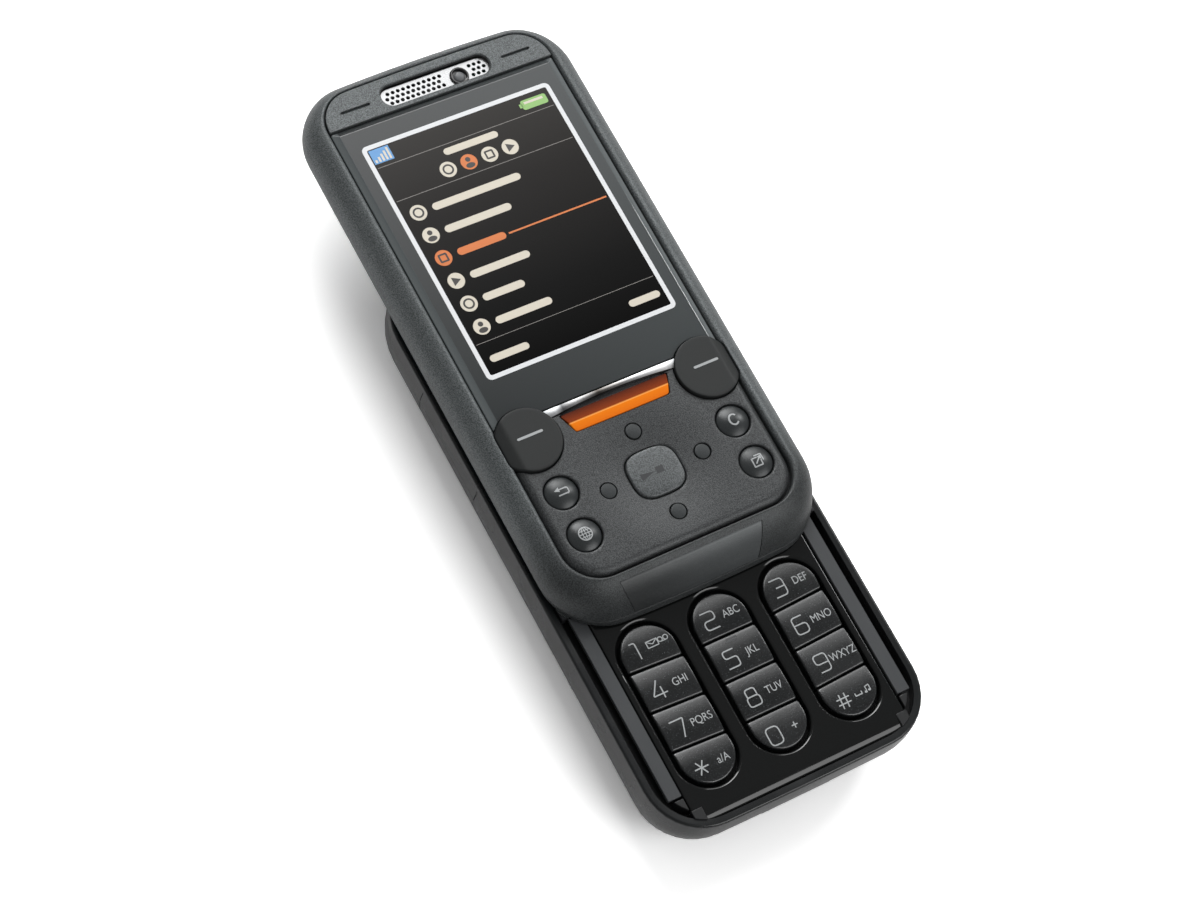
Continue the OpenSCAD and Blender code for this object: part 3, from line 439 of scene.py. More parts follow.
def add_span(tree, axis, start, end, weak=0, strong=1):
    """A node that runs from weak to strong between two places, in metres, along an axis."""
    place = add_node(tree, "TexCoord").outputs["Object"]
    split = add_node(tree, "SeparateXYZ", {"Vector": place})
    return add_node(tree, "MapRange", {"Value": split.outputs[axis], "From Min": start,
                                       "From Max": end, "To Min": weak, "To Max": strong})


# Size of the clouds in a finish, in millimetres, and the share of the noise at which its
# grain is darkest, brightest and turns to specks
CLOUD_SIZE = 9
GRAIN_DARK, GRAIN_LIGHT, GRAIN_SPECK = 0.35, 0.65, 0.74


def surface(name, colour, rough, metal=0.0, grain=0.0, grain_size=0.12, shade=0.0,
            rough_spread=0.05, coat=0.0, coat_rough=0.03, specular=0.5, speck=None):
    """A finish: its colour is broken up by a fine grain of grain_size millimetres, which also
    lifts the surface by grain, while a coarse cloud shifts the roughness by rough_spread. The
    brightest grains are specks of another colour."""
    material = bpy.data.materials.new(name)
    material.use_nodes = True
    tree = material.node_tree
    place = add_node(tree, "TexCoord").outputs["Object"]
    fine, cloud = [
        add_node(tree, "TexNoise", {"Scale": 1 / (size * MM), "Detail": detail, "Vector": place})
        .outputs["Fac"] for size, detail in ((grain_size, 2), (CLOUD_SIZE, 3))]
    tone = add_node(tree, "ValToRGB", {"Fac": fine})
    base = np.array(linear(*colour))
    ramp = tone.color_ramp.elements
    for element, spot, scale in ((ramp[0], GRAIN_DARK, 1 - shade),
                                 (ramp[1], GRAIN_LIGHT, 1 + shade)):
        element.position = spot
        element.color = [*np.minimum(base * scale, 1)[:3], 1]
    if speck:
        ramp.new(GRAIN_SPECK).color = linear(*speck)
    spread = add_node(tree, "MapRange", {
        "Value": cloud, "From Min": 0.3, "From Max": 0.7,
        "To Min": max(rough - rough_spread, 0.01), "To Max": rough + rough_spread})
    inputs = {"Metallic": metal, "Specular IOR Level": specular, "Coat Weight": coat,
              "Coat Roughness": coat_rough, "Base Color": tone.outputs["Color"],
              "Roughness": spread.outputs["Result"]}
    if grain:
        bump = add_node(tree, "Bump", {"Strength": 1, "Distance": grain * MM, "Height": fine})
        inputs["Normal"] = bump.outputs["Normal"]
    set_inputs(tree, tree.nodes["Principled BSDF"], inputs)
    return material


GREY_PAINT = surface("grey metallic paint", (80, 84, 85), 0.42, metal=0.3, grain=0.04,
                     grain_size=0.16, shade=0.55)
NAV_PAINT = surface("key plate paint", (56, 58, 59), 0.42, metal=0.3, grain=0.04,
                    grain_size=0.16, shade=0.55)
HOUSING = surface("housing plastic", (19, 21, 22), 0.27, grain=0.003,
                  grain_size=0.25, shade=0.08)
DECK_GLOSS = surface("deck gloss", (16, 17, 17), 0.09, rough_spread=0.02, shade=0.05)
INLAY_GLOSS = surface("inlay paint", (68, 71, 72), 0.36, metal=0.3, shade=0.15, grain=0.008)
GLASS_DARK = surface("window glass", (48, 52, 53), 0.5, rough_spread=0.02, coat=1, shade=0.02,
                     coat_rough=0.06, specular=0.1)
SMOOTH_KEY = surface("smooth key", (32, 34, 34), 0.5, grain=0.001, shade=0.03, specular=0.3)
DOT_KEY = surface("dot key", (50, 53, 54), 0.5, metal=0.2, grain=0.01, shade=0.2, specular=0.3)
ROUND_KEY = surface("round key", (44, 47, 48), 0.32, metal=0.2, grain=0.006, shade=0.2)
CENTRE_KEY = surface("centre key", (82, 85, 86), 0.4, metal=0.4, grain=0.03,
                     grain_size=0.2, shade=0.4)
NUMBER_KEY = surface("number key", (22, 24, 25), 0.24, metal=0.25, grain=0.015,
                     grain_size=0.16, shade=0.7, specular=1, speck=(84, 88, 90))
SIDE_KEY = surface("side key", (44, 46, 47), 0.33, metal=0.3, grain=0.004, shade=0.1)
RAIL_METAL = surface("rail metal", (56, 58, 60), 0.42, metal=0.1, shade=0.05)
DARK_STEEL = surface("blackened steel", (40, 41, 43), 0.4, metal=0.5, shade=0.06)
STEEL = surface("stamped steel", (150, 152, 156), 0.3, metal=1, shade=0.06, grain=0.003)
CHROME = surface("chrome", (186, 188, 190), 0.3, metal=1, shade=0.02, rough_spread=0.03)
GRILLE = surface("perforated metal", (184, 185, 186), 0.3, metal=0.85, shade=0.05)
BLACK = surface("black plastic", (16, 16, 17), 0.5, shade=0.1, grain=0.003)
LENS = surface("lens", (12, 12, 14), 0.06, coat=1, shade=0.05, rough_spread=0.02)
BOARD = surface("circuit board", (32, 92, 62), 0.4, shade=0.1, grain=0.004)
DOME = surface("dome foil", (190, 172, 120), 0.3, metal=0.8, shade=0.05)
RIBBON = surface("ribbon", (176, 104, 38), 0.4, shade=0.06)
GOLD = surface("plated carrier", (150, 116, 62), 0.35, metal=0.7, shade=0.08)
SILVER = surface("battery wrap", (196, 197, 200), 0.35, metal=0.5, shade=0.04)
LEGEND = surface("legend print", (150, 153, 154), 0.5, shade=0.04)
LEGEND_DARK = surface("dark legend print", (44, 45, 47), 0.5, shade=0.04)
ORANGE = surface("orange key", (214, 110, 26), 0.5, specular=0.05, shade=0.06)
WHITE_PRINT = surface("white frame", (206, 208, 210), 0.4, coat=0.4, shade=0.01)
CREAM = surface("screen cream", (196, 189, 174), 0.4, coat=0.4, shade=0.01)
SCREEN_ORANGE = surface("screen orange", (196, 104, 36), 0.4, coat=0.4, shade=0.01)
SCREEN_DARK = surface("screen dark", (38, 34, 32), 0.4, coat=0.4, shade=0.01)
SCREEN_LINE = surface("screen line", (112, 108, 104), 0.4, coat=1, shade=0.01)
SIGNAL_BLUE = surface("signal blue", (62, 132, 190), 0.4, coat=1, shade=0.01)
BATTERY_GREEN = surface("battery green", (122, 170, 84), 0.4, coat=1, shade=0.01)
LENS_BALL = surface("camera ball", (92, 94, 96), 0.5, shade=0.05)
SCREEN = surface("screen field", (30, 28, 27), 0.6, coat=0.4, specular=0)


def graded(material, stops, axis=1):
    """Recolours a finish along an axis of the phone: stops are (millimetres, colour)."""
    tree = material.node_tree
    first, last = stops[0][0], stops[-1][0]
    span = add_span(tree, axis, first * MM, last * MM)
    ramp = add_node(tree, "ValToRGB", {"Fac": span.outputs["Result"]})
    elements = ramp.color_ramp.elements
    for i, (at, colour) in enumerate(stops):
        spot = (at - first) / (last - first)
        inner = 0 < i < len(stops) - 1
        element = elements.new(spot) if inner else elements[0 if i == 0 else -1]
        element.position = spot
        element.color = linear(*colour)
    set_inputs(tree, tree.nodes["Principled BSDF"], {"Base Color": ramp.outputs["Color"]})


def shaded(material, stops, axis=1):
    """Paints shade into a finish along an axis of the phone: stops are (millimetres, share kept).
    """
    tree = material.node_tree
    shader = tree.nodes["Principled BSDF"]
    (start, weak), (end, strong) = stops
    span = add_span(tree, axis, start * MM, end * MM, weak, strong)
    span.interpolation_type = "SMOOTHSTEP"
    tone = shader.inputs["Base Color"].links[0].from_socket
    scale = add_node(tree, "VectorMath")
    scale.operation = "SCALE"
    set_inputs(tree, scale, {"Vector": tone, "Scale": span.outputs["Result"]})
    set_inputs(tree, shader, {"Base Color": scale.outputs["Vector"]})


# Bare metal of the rails starts here; below it they are dark
RAIL_END = HOUSE_LOW[1] + 6.3

# Painted shade: the paint darkens towards the chin, which mirrors a dark room, and the inlay
# darkens to the left.
shaded(GREY_PAINT, [(-26, 0.36), (-9, 1)])
shaded(INLAY_GLOSS, [(-13, 0.4), (7, 1)], 0)
graded(SCREEN, [(9, (3, 3, 3)), (20, (8, 8, 8)), (38, (28, 26, 25)), (52, (46, 44, 42))])
# Painted highlight along the orange key's ridge, and painted shade that makes its upper facet
# brown.
graded(ORANGE, [(-3.3, (214, 104, 20)), (-1.95, (226, 120, 22)), (-1.8, (240, 160, 80)),
                (-1.62, (124, 50, 14)), (0, (72, 26, 10))])
# Painted reflections: light and dark bands along the chrome strip.
graded(CHROME, [(-11.5, (120, 122, 124)), (-9.4, (214, 216, 218)), (-8.2, (96, 97, 98)),
                (-6, (176, 176, 176)), (-2, (70, 66, 62)), (1.5, (150, 148, 146)),
                (5, (196, 197, 198)), (9.5, (250, 250, 250)), (11.5, (150, 152, 154))], 0)
graded(RAIL_METAL, [(RAIL_END - 0.2, (24, 25, 26)), (RAIL_END, (56, 58, 60))])
# Painted reflection: the window's side bevels are lighter, and its flat part lightens towards the
# right.
graded(GLASS_DARK, [(-19.4, (92, 97, 98)), (-18.35, (78, 83, 84)), (-18.25, (38, 41, 42)),
                    (18.25, (54, 58, 59)), (18.35, (84, 89, 90)), (19.4, (100, 104, 105))], 0)

LOOKS = {
    "housing_plastic": HOUSING, "grey_paint": GREY_PAINT, "black_gloss": DECK_GLOSS,
    "window_glass": GLASS_DARK, "rail_metal": RAIL_METAL, "steel": STEEL, "board": BOARD,
    "dome_metal": DOME, "ribbon": RIBBON, "antenna_metal": GOLD, "battery_case": SILVER,
    "black_plastic": BLACK, "lens_black": LENS, "screen": BLACK, "grille_metal": GRILLE,
    "chrome": CHROME, "smooth_key": SMOOTH_KEY, "orange_key": ORANGE, "grey_key": CENTRE_KEY,
    "dot_key": DOT_KEY, "side_key": SIDE_KEY, "number_key": NUMBER_KEY,
}
SLOT_OF = {part["node"]: part["material_slot"] for part in frame["record"]["subparts"]}

for node, piece in frame["nodes"].items():
    piece.data.materials.clear()
    piece.data.materials.append(LOOKS[SLOT_OF[node]])

# -------------------------------------------------------------------- upper half

UPPER_HALF, UPPER_TOP = REAR_HIGH[0], REAR_HIGH[1]
RISE = FACE_Z - BELLY_Z

# Corners of the plan at its widest line, how far the sides and the top end are drawn in at
# the face, and the round below the widest line
CORNER_R = 9
SIDE_DRAW, TOP_DRAW = 3.0, 1.8
BELLY_R = 4

# The sloping bottom end is an arc about an axis. Both ends bow in towards the corners.
CHIN_R, CHIN_Y, CHIN_Z = 12, -20.18, 9.8
END_BOW = 0.7

# Wall of the front shell, and the shelf that carries the glass
SHELL_WALL = 1.5
SHELF_WIDTH, SHELF_THICKNESS = 1.3, 0.75


def draw_in(z, draw):
    """How far an edge is drawn in at a height: an arc of BELLY_R below the widest line, and
    above it the arc that leaves the vertical there and draws in by draw up to the face."""
    if z < BELLY_Z:
        return BELLY_R - math.sqrt(BELLY_R ** 2 - (BELLY_Z - z) ** 2)
    r = (draw ** 2 + RISE ** 2) / (2 * draw)
    return r - math.sqrt(max(r ** 2 - (z - BELLY_Z) ** 2, 0))


def chin_at(z):
    """Where the sloping bottom end stands at a height: an arc of CHIN_R."""
    return CHIN_Y - math.sqrt(CHIN_R ** 2 - (z - CHIN_Z) ** 2)


def upper_outline(z, shrink=0.0):
    """The upper half's plan at a height, drawn in by shrink: corners tighten towards the face."""
    up = max(0, (z - BELLY_Z) / RISE)
    side = draw_in(z, SIDE_DRAW)
    top_r = CORNER_R - 2.3 * up ** 2 - 0.4 * up
    low_r = CORNER_R - 2.4 * up ** 2 - 0.3 * up
    plan = rounded(UPPER_HALF - side, chin_at(z), UPPER_TOP - draw_in(z, TOP_DRAW),
                   low_r, top_r, bow=(END_BOW * (1 - up), END_BOW))
    return plan(shrink)


def insert_outline(shrink=0.0):
    """Plan of the opening that holds the top cap, the glass and the key plate."""
    return rounded(INSERT_HALF + 0.05, NAV_LOW[1] - 0.05, CAP_HIGH[1] + 0.05, INSERT_R,
                   INSERT_TOP_R, bow=(0, 0.35))(shrink)


def add_front_shell():
    """Front shell: its outside through plans at rising heights, a small round at the opening,
    the opening's wall, a shelf and the inside wall."""
    seam = SHELL_LOW[2] + 0.03
    loops = [(upper_outline(seam, 0.06), seam), (upper_outline(seam, 0.01), seam + 0.04),
             (upper_outline(seam + 0.12), seam + 0.12)]
    for share in np.linspace(0.02, 1, 14):
        z = seam + 0.14 + (FACE_Z - 0.2 - seam - 0.14) * math.sin(share * PI / 2)
        loops.append((upper_outline(z), z))
    lip = insert_outline(0)
    top = upper_outline(FACE_Z - 0.2)
    for share, drop in ((0.2, 0.09), (0.4, 0.02), (0.55, 0), (0.72, 0.04), (0.88, 0.18),
                        (0.97, 0.4), (1, 0.6)):
        loops.append((top + (lip - top) * share, FACE_Z - drop))
    under = INSERT_Z - SHELF_THICKNESS
    loops += [(lip, INSERT_Z), (insert_outline(SHELF_WIDTH), INSERT_Z),
              (insert_outline(SHELF_WIDTH), under),
              (upper_outline(under, SHELL_WALL + 0.6), INSERT_Z - 0.8),
              (upper_outline(seam, SHELL_WALL), seam)]
    form = lofted(loops, closed=True)
    shell = make("front_shell_piece", form, "grey_paint", "upper_half", GREY_PAINT)
    tools = [soft_notch(side, FACE_Z - 2.2) for side in (-1, 1)]
    tools += [inlay_seam(INLAY_LEFT, -1, 0.03), inlay_seam(INLAY_RIGHT, 1, 0.07)]
    cut(shell, tools)
    flat_shading(shell)
    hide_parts("front_shell")


# Soft keys: middle, radius, the straight cut of their outer side, and their top
SOFT_X = SOFT_HIGH[0] - 4.4
SOFT_Y = (SOFT_LOW[1] + SOFT_HIGH[1]) / 2
SOFT_R = 5.1
SIDE_CUT = 19.8
SOFT_TOP = SOFT_HIGH[2] - 0.03

# Gap round every face key
FIT = 0.14


def soft_plan(side, grow=0.0):
    """Plan of a soft key: a circle whose outer side is cut straight."""
    return rays([edge_arc(0, 0, SOFT_R + grow), edge_line(side, 0, SIDE_CUT - SOFT_X + grow)],
                (side * SOFT_X, SOFT_Y), count=120, hardness=60)


def soft_notch(side, low):
    """Tool that clears the place of a soft key."""
    return cutter_points(soft_plan(side, FIT), flat(FACE_Z), low, 0.12)


# Sides of the inlay at the chin's lower edge, and how far they lean out towards the face
INLAY_LEFT, INLAY_RIGHT = -11.9, 9.4
INLAY_SPREAD = 1.5


def chin_grid(left, right, depth, columns):
    """Grid on the chin at a depth under it, from just above its lower edge to just below the
    face: left and right give the ends of each row at its height."""
    z = np.linspace(REAR_LOW[2] + 1.3, FACE_Z - 0.5, 18)
    y = CHIN_Y - np.sqrt((CHIN_R - depth) ** 2 - (z - CHIN_Z) ** 2)
    u = np.linspace(0, 1, columns)[None, :]
    lo, hi = left(z)[:, None], right(z)[:, None]
    x = lo + (hi - lo) * u
    z = np.broadcast_to(z[:, None], x.shape)
    up = np.maximum((z - BELLY_Z) / RISE, 0)
    return np.stack([x, y[:, None] + END_BOW * (1 - up) * (x / UPPER_HALF) ** 2, z], -1)


def inlay_edge(x, side, grow=0.0):
    """Side of the inlay as a function of height: it leans outwards with rising height."""
    return lambda z: x + side * (grow + INLAY_SPREAD * (z - REAR_LOW[2] - 1.3) / RISE)


def slab(outer, inner):
    """Points and faces of a closed slab between two grids of the same size, outer outwards."""
    rows, columns = outer.shape[:2]
    count = rows * columns
    faces = grid_faces(rows, columns, False)
    faces += [[i + count for i in face][::-1] for face in grid_faces(rows, columns, False)]
    index = np.arange(count).reshape(rows, columns)
    rim = np.concatenate([index[0, :-1], index[:-1, -1], index[-1, :0:-1], index[:0:-1, 0]])
    after = np.roll(rim, -1)
    faces += [[int(b), int(a), int(a + count), int(b + count)] for a, b in zip(rim, after)]
    return np.concatenate([outer.reshape(-1, 3), inner.reshape(-1, 3)]), faces


def inlay_seam(x, side, half):
    """Tool that cuts a fine seam into the chin along one side of the inlay."""
    left = inlay_edge(x, side, -side * half - 0.02)
    right = inlay_edge(x, side, side * half - 0.02)
    return slab(chin_grid(left, right, -0.4, 2), chin_grid(left, right, 0.35, 2))


def add_end_inlay():
    """Inlay in the chin between its two seams, level with the chin."""
    left, right = inlay_edge(INLAY_LEFT, -1, -0.07), inlay_edge(INLAY_RIGHT, 1, -0.1)
    form = slab(chin_grid(left, right, -0.012, 24), chin_grid(left, right, 0.5, 24))
    piece = make("end_inlay_piece", form, "black_gloss", "upper_half", INLAY_GLOSS, 50)
    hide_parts("end_inlay")


# Slot that lets the ribbon through the rear cover
RIBBON_SLOT_HALF, RIBBON_SLOT_Y = 6.5, REAR_LOW[1] + 25.8


def add_rear_cover():
    """Underside of the upper half: a plate whose edge carries on the shell's side, with the
    carriage's seat below and a shallow tray above."""
    low, top = REAR_LOW[2], SHELL_LOW[2] - 0.02
    sheet_low, sheet_high = corners("slide_carriage")
    seat = rounded(sheet_high[0] + 0.1, sheet_low[1] - 0.1, sheet_high[1] + 0.1, 1.6, 1.6)
    loops = [(seat(0), low + 0.45), (seat(0), low), (upper_outline(low, 0.35), low),
             (upper_outline(low, 0.1), low + 0.07)]
    loops += [(upper_outline(z, 0.01), z) for z in np.linspace(low + 0.25, top - 0.04, 6)]
    loops += [(upper_outline(top, 0.06), top), (upper_outline(top, 1.7), top),
              (upper_outline(top, 1.7), low + 0.6)]
    piece = make("slider_rear_cover_piece", lofted(loops), "grey_paint", "upper_half", GREY_PAINT)
    cut(piece, [box_tool((-RIBBON_SLOT_HALF, RIBBON_SLOT_Y - 0.6, low - 1),
                         (RIBBON_SLOT_HALF, RIBBON_SLOT_Y + 1.2, top + 1))])
    flat_shading(piece)
    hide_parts("slider_rear_cover")


# Key plate: its round dish, and the roll of its side and bottom edges
DISH_Y = NAV_HIGH[1] - 15.1
DISH_DEEP, DISH_R = 0.9, 12.5
RIM_R = 1.4


def nav_surface(x, y):
    """Top of the key plate: level, with a smooth round dish."""
    away = np.hypot(x, y - DISH_Y)
    dish = DISH_DEEP * (0.5 + 0.5 * np.cos(PI * np.minimum(away / DISH_R, 1)))
    return FACE_Z - 0.02 - dish


def nav_outline(shrink=0.0):
    """Plan of the key plate, drawn in by shrink: round bottom corners and a straight top."""
    return rounded(INSERT_HALF - GROOVE, NAV_LOW[1] + GROOVE, NAV_HIGH[1] - 0.05,
                   INSERT_R - GROOVE, 0.15, turn=16, side=44, end=36)(shrink)


PLAYER_HALF, PLAYER_TOP, PLAYER_LOW = 9.2, NAV_HIGH[1] - 1.7, NAV_HIGH[1] - 4.9


def player_plan(grow=0.0):
    """Plan of the player key: a trapezoid that narrows downwards, with small round corners."""
    slope = math.atan2(1.2, PLAYER_TOP - PLAYER_LOW)
    half = (PLAYER_TOP - PLAYER_LOW) / 2
    side = (PLAYER_HALF - 0.6) * math.cos(slope)
    return rays([edge_line(0, 1, half + grow), edge_line(0, -1, half + grow),
                 edge_line(math.cos(slope), -math.sin(slope), side + grow),
                 edge_line(-math.cos(slope), -math.sin(slope), side + grow)],
                (0, (PLAYER_TOP + PLAYER_LOW) / 2), count=260, hardness=26)


# Face keys round the dish: the centre key, four round keys at its corners, four dots
CENTRE_W, CENTRE_L = 8.4, 7.5
ROUND_R, DOT_R = 2.6, 1.2
ROUND_X = INSERT_HALF + 0.05 - 4.7
ROUND_Y = (DISH_Y + 2.45, DISH_Y - 4.8)
DOT_X, DOT_Y = 8.1, 7


def centre_plan(grow=0.0):
    """Plan of the centre key: a rounded square with slightly swollen sides."""
    def outline(shrink=0):
        a = np.linspace(0, 2 * PI, 96, endpoint=False)
        w, h, power = CENTRE_W / 2 + grow - shrink, CENTRE_L / 2 + grow - shrink, 3.1
        reach = (np.abs(np.cos(a) / w) ** power + np.abs(np.sin(a) / h) ** power) ** (-1 / power)
        return np.column_stack([reach * np.cos(a), DISH_Y + reach * np.sin(a)])
    return outline


def disc(x, y, r, count=48):
    """Round plan."""
    return rays([edge_arc(0, 0, r)], (x, y), count=count, hardness=1)


def add_nav_plate():
    """Key plate: a dished top with rolled edges, and a hole for each face key."""
    form = rim_pad(nav_outline, nav_surface, INSERT_Z + 0.02, RIM_R, NAV_HIGH[1] - 0.2, 34)
    plate = make("nav_plate_piece", form, "grey_paint", "upper_half", NAV_PAINT)
    low = INSERT_Z - 1
    tools = [cutter_points(centre_plan(FIT), nav_surface, low, 0.22),
             cutter_points(player_plan(FIT), nav_surface, low, 0.08)]
    for side in (-1, 1):
        tools.append(cutter_points(soft_plan(side, FIT), flat(FACE_Z - 0.02), low, 0.15))
        for x, y in ((side * DOT_X, DISH_Y), (0, DISH_Y + side * DOT_Y)):
            tools.append(cutter_points(disc(x, y, DOT_R + FIT), nav_surface, low, 0.12))
        for y in ROUND_Y:
            hole = disc(side * ROUND_X, y, ROUND_R + FIT)
            tools.append(cutter_points(hole, nav_surface, low, 0.2))
    strip = rounded(SOFT_X - SOFT_R + 1.8, PLAYER_TOP + 0.12, NAV_HIGH[1] + 1, 0.05, 0.05)
    tools.append(cutter_points(strip, flat(FACE_Z), FACE_Z - 0.9, 0.03))
    cut_each(plate, tools)
    flat_shading(plate, 50)
    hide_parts("nav_plate")


GLASS_BEVEL = 1.0


def glass_surface(x, y):
    """Top of the glass: level, with a straight bevel along both sides and the top."""
    side = np.minimum(GLASS_HIGH[0] + 0.1 - np.abs(x), GLASS_HIGH[1] - 0.05 - y)
    return FACE_Z - 0.5 * np.maximum(GLASS_BEVEL - side, 0)


def add_glass():
    """Window: a plate with bevelled sides and top, cut round for the soft keys."""
    outline = rounded(GLASS_HIGH[0] + 0.1, GLASS_LOW[1] + 0.05, GLASS_HIGH[1] - 0.05, 0.2, 0.3,
                      turn=4, side=30, end=20)
    loops = [(outline(0), INSERT_Z + 0.02)]
    for inset, drop in ((0, 0.1), (0.04, 0.03), (0.12, 0), (GLASS_BEVEL - 0.04, 0),
                        (GLASS_BEVEL + 0.04, 0)):
        xy = outline(inset)
        loops.append((xy, heights(glass_surface, xy) - drop))
    glass = make("display_window_piece", lofted(loops), "window_glass", "upper_half", GLASS_DARK)
    cut(glass, [cutter_points(soft_plan(side, FIT), flat(FACE_Z), INSERT_Z - 1, 0.08)
                for side in (-1, 1)])
    flat_shading(glass, 12)
    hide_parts("display_window")


# Speaker slot, the two dashes beside it, and the front camera in it
SLOT_X, SLOT_Y = 0.15, CAP_LOW[1] + 2.65
SLOT_HALF, SLOT_R = 9.4, 1.85
DASH_X = (-13.85, 14.15)
LENS_X, LENS_Y, LENS_R = 4.2, CAP_LOW[1] + 2.15, 1.5


def cap_outline(shrink=0.0):
    """Plan of the top cap: round top corners and a straight bottom edge."""
    return rounded(INSERT_HALF - GROOVE, CAP_LOW[1] + 0.06, CAP_HIGH[1] - GROOVE, 0.1,
                   INSERT_TOP_R - GROOVE - 0.05, bow=(0, 0.35), side=6, end=30)(shrink)


def capsule(x, y, half, r, turn=16, run=8):
    """Plan of a bar with round ends along x, as a function of how far it is drawn in."""
    def outline(shrink=0):
        a = np.linspace(-0.5, 0.5, turn) * PI
        reach, w = half - r, r - shrink
        right = np.column_stack([reach + w * np.cos(a), w * np.sin(a)])
        share = np.linspace(1, -1, run)[1:-1] * reach
        upper = np.column_stack([share, np.full(len(share), w)])
        return np.concatenate([right, upper, -right, -upper]) + (x, y)
    return outline


def add_top_cap():
    """Top cap: a thin plate with the speaker slot and two engraved dashes, and a black wall in the
    slot that is painted shade.
    """
    face = flat(FACE_Z - 0.02)
    form = pad_points(cap_outline, face, INSERT_Z + 0.02, 0.12, rings=3)
    cap = make("top_cap_piece", form, "grey_paint", "upper_half", GREY_PAINT)
    slot = capsule(SLOT_X, SLOT_Y, SLOT_HALF, SLOT_R)
    tools = [cutter_points(slot, face, INSERT_Z - 1, 0.25)]
    for x in DASH_X:
        dash = capsule(x, SLOT_Y - 0.15, 2.5, 0.22)
        tools.append(cutter_points(dash, face, FACE_Z - 0.5, 0.08))
    cut_each(cap, tools)
    flat_shading(cap)
    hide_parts("top_cap")
    # A black wall in the slot: painted shade on the slot's wall.
    wide = capsule(SLOT_X, SLOT_Y, SLOT_HALF + 0.1, SLOT_R + 0.1)(0)
    narrow = capsule(SLOT_X, SLOT_Y, SLOT_HALF - 0.08, SLOT_R - 0.08)(0)
    low, top = FACE_Z - 1.18, FACE_Z - 0.3
    form = lofted([(wide, low), (wide, top), (narrow, top), (narrow, low)], closed=True)
    make("slot_wall_painted_shade", form, "grey_paint", "upper_half", BLACK)


def add_lens():
    """Front camera: a dark barrel with a stepped mouth and a domed lens, turned on its axis."""
    top = FACE_Z - 0.42
    profile = [(LENS_R, FACE_Z - 3), (LENS_R, top - 0.1), (LENS_R - 0.1, top),
               (LENS_R - 0.25, top), (LENS_R - 0.4, top - 0.5)]
    form = lofted([(disc(LENS_X, LENS_Y, r, 64)(0), z) for r, z in profile])
    piece = make("front_camera_piece", form, "lens_black", "upper_half", LENS)
    ball = [(0.96 * math.cos(a), top - 0.6 + 0.5 * math.sin(a)) for a in np.linspace(0, 1.5, 12)]
    form = lofted([(disc(LENS_X, LENS_Y, r, 48)(0), z) for r, z in ball])
    make("camera_ball", form, "lens_black", "upper_half", LENS_BALL)
    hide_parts("front_camera")


# --------------------------------------------------------------------- face keys


def add_key(name, outline, top, low, edge, slot, finish, rings=8, sharp=40):
    """A key that rides on its own body and stands for its CAD node."""
    form = pad_points(outline, top, low, edge, rings)
    piece = make(name + "_piece", form, slot, name, finish, sharp)
    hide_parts(name)


def soft_surface(x, y):
    """Top of a soft key: level, with a slope down to its outer side."""
    return SOFT_TOP - 0.47 * np.maximum(np.abs(x) - (INSERT_HALF - 1.35), 0)


def dome(x0, y0, r, rise, top):
    """A domed top: a sphere that rises by rise over the radius r."""
    big = (rise ** 2 + r ** 2) / (2 * rise)

    def height(x, y):
        away = (x - x0) ** 2 + (y - y0) ** 2
        return top - big + np.sqrt(np.maximum(big ** 2 - away, 0))
    return height


def player_surface(x, y):
    """Top of the player key: two facets that slope down from a ridge along its middle."""
    ridge = (PLAYER_TOP + PLAYER_LOW) / 2 - 0.1
    return FACE_Z + 0.22 - np.where(y > ridge, 0.18 * (y - ridge), 0.3 * (ridge - y))


def round_top(x, y):
    """Top of a round key."""
    return dome(x, y, ROUND_R, 0.75, FACE_Z + 0.42)


CENTRE_TOP = dome(0, DISH_Y, 5, 0.2, FACE_Z - 0.2)


def add_face_keys():
    """The twelve keys of the key plate."""
    base = INSERT_Z
    for side, name in ((-1, "left_soft_key"), (1, "right_soft_key")):
        add_key(name, soft_plan(side), soft_surface, base, 0.22, "smooth_key", SMOOTH_KEY, 14)
    add_key("player_key", player_plan(), player_surface, base, 0.12, "orange_key", ORANGE, 10, 8)
    add_key("centre_key", centre_plan(), CENTRE_TOP, base, 0.3, "grey_key", CENTRE_KEY)
    names = (("back_key", -1, 0), ("clear_key", 1, 0), ("web_key", -1, 1), ("menu_key", 1, 1))
    for name, side, row in names:
        x, y = side * ROUND_X, ROUND_Y[row]
        add_key(name, disc(x, y, ROUND_R, 64), round_top(x, y), base, 0.2, "smooth_key",
                ROUND_KEY)
    spots = (("nav_up", 0, 1), ("nav_down", 0, -1), ("nav_left", -1, 0), ("nav_right", 1, 0))
    for name, across, up in spots:
        x, y = across * DOT_X, DISH_Y + up * DOT_Y
        add_key(name, disc(x, y, DOT_R), dome(x, y, DOT_R, 0.12, FACE_Z - 0.2), base, 0.1,
                "dot_key", DOT_KEY)


# ------------------------------------------------------------------------ prints


def rounded_line(points, r, closed=False, steps=5):
    """A line whose inner corners are turned into curves that start r away from them."""
    points = np.array(points, float)
    if r <= 0:
        return points
    count = len(points)
    result = []
    for i in range(count):
        if not closed and i in (0, count - 1):
            result.append(points[i])
            continue
        before, here, after = points[i - 1], points[i], points[(i + 1) % count]
        reach = min(r, np.linalg.norm(here - before) / 2, np.linalg.norm(after - here) / 2)
        start = here + (before - here) / max(np.linalg.norm(before - here), 1e-9) * reach
        end = here + (after - here) / max(np.linalg.norm(after - here), 1e-9) * reach
        for t in np.linspace(0, 1, steps):
            result.append((1 - t) ** 2 * start + 2 * t * (1 - t) * here + t ** 2 * end)
    return np.array(result)


def unit(rows):
    """Rows of vectors, each made one long."""
    return rows / np.maximum(np.linalg.norm(rows, axis=1, keepdims=True), 1e-9)


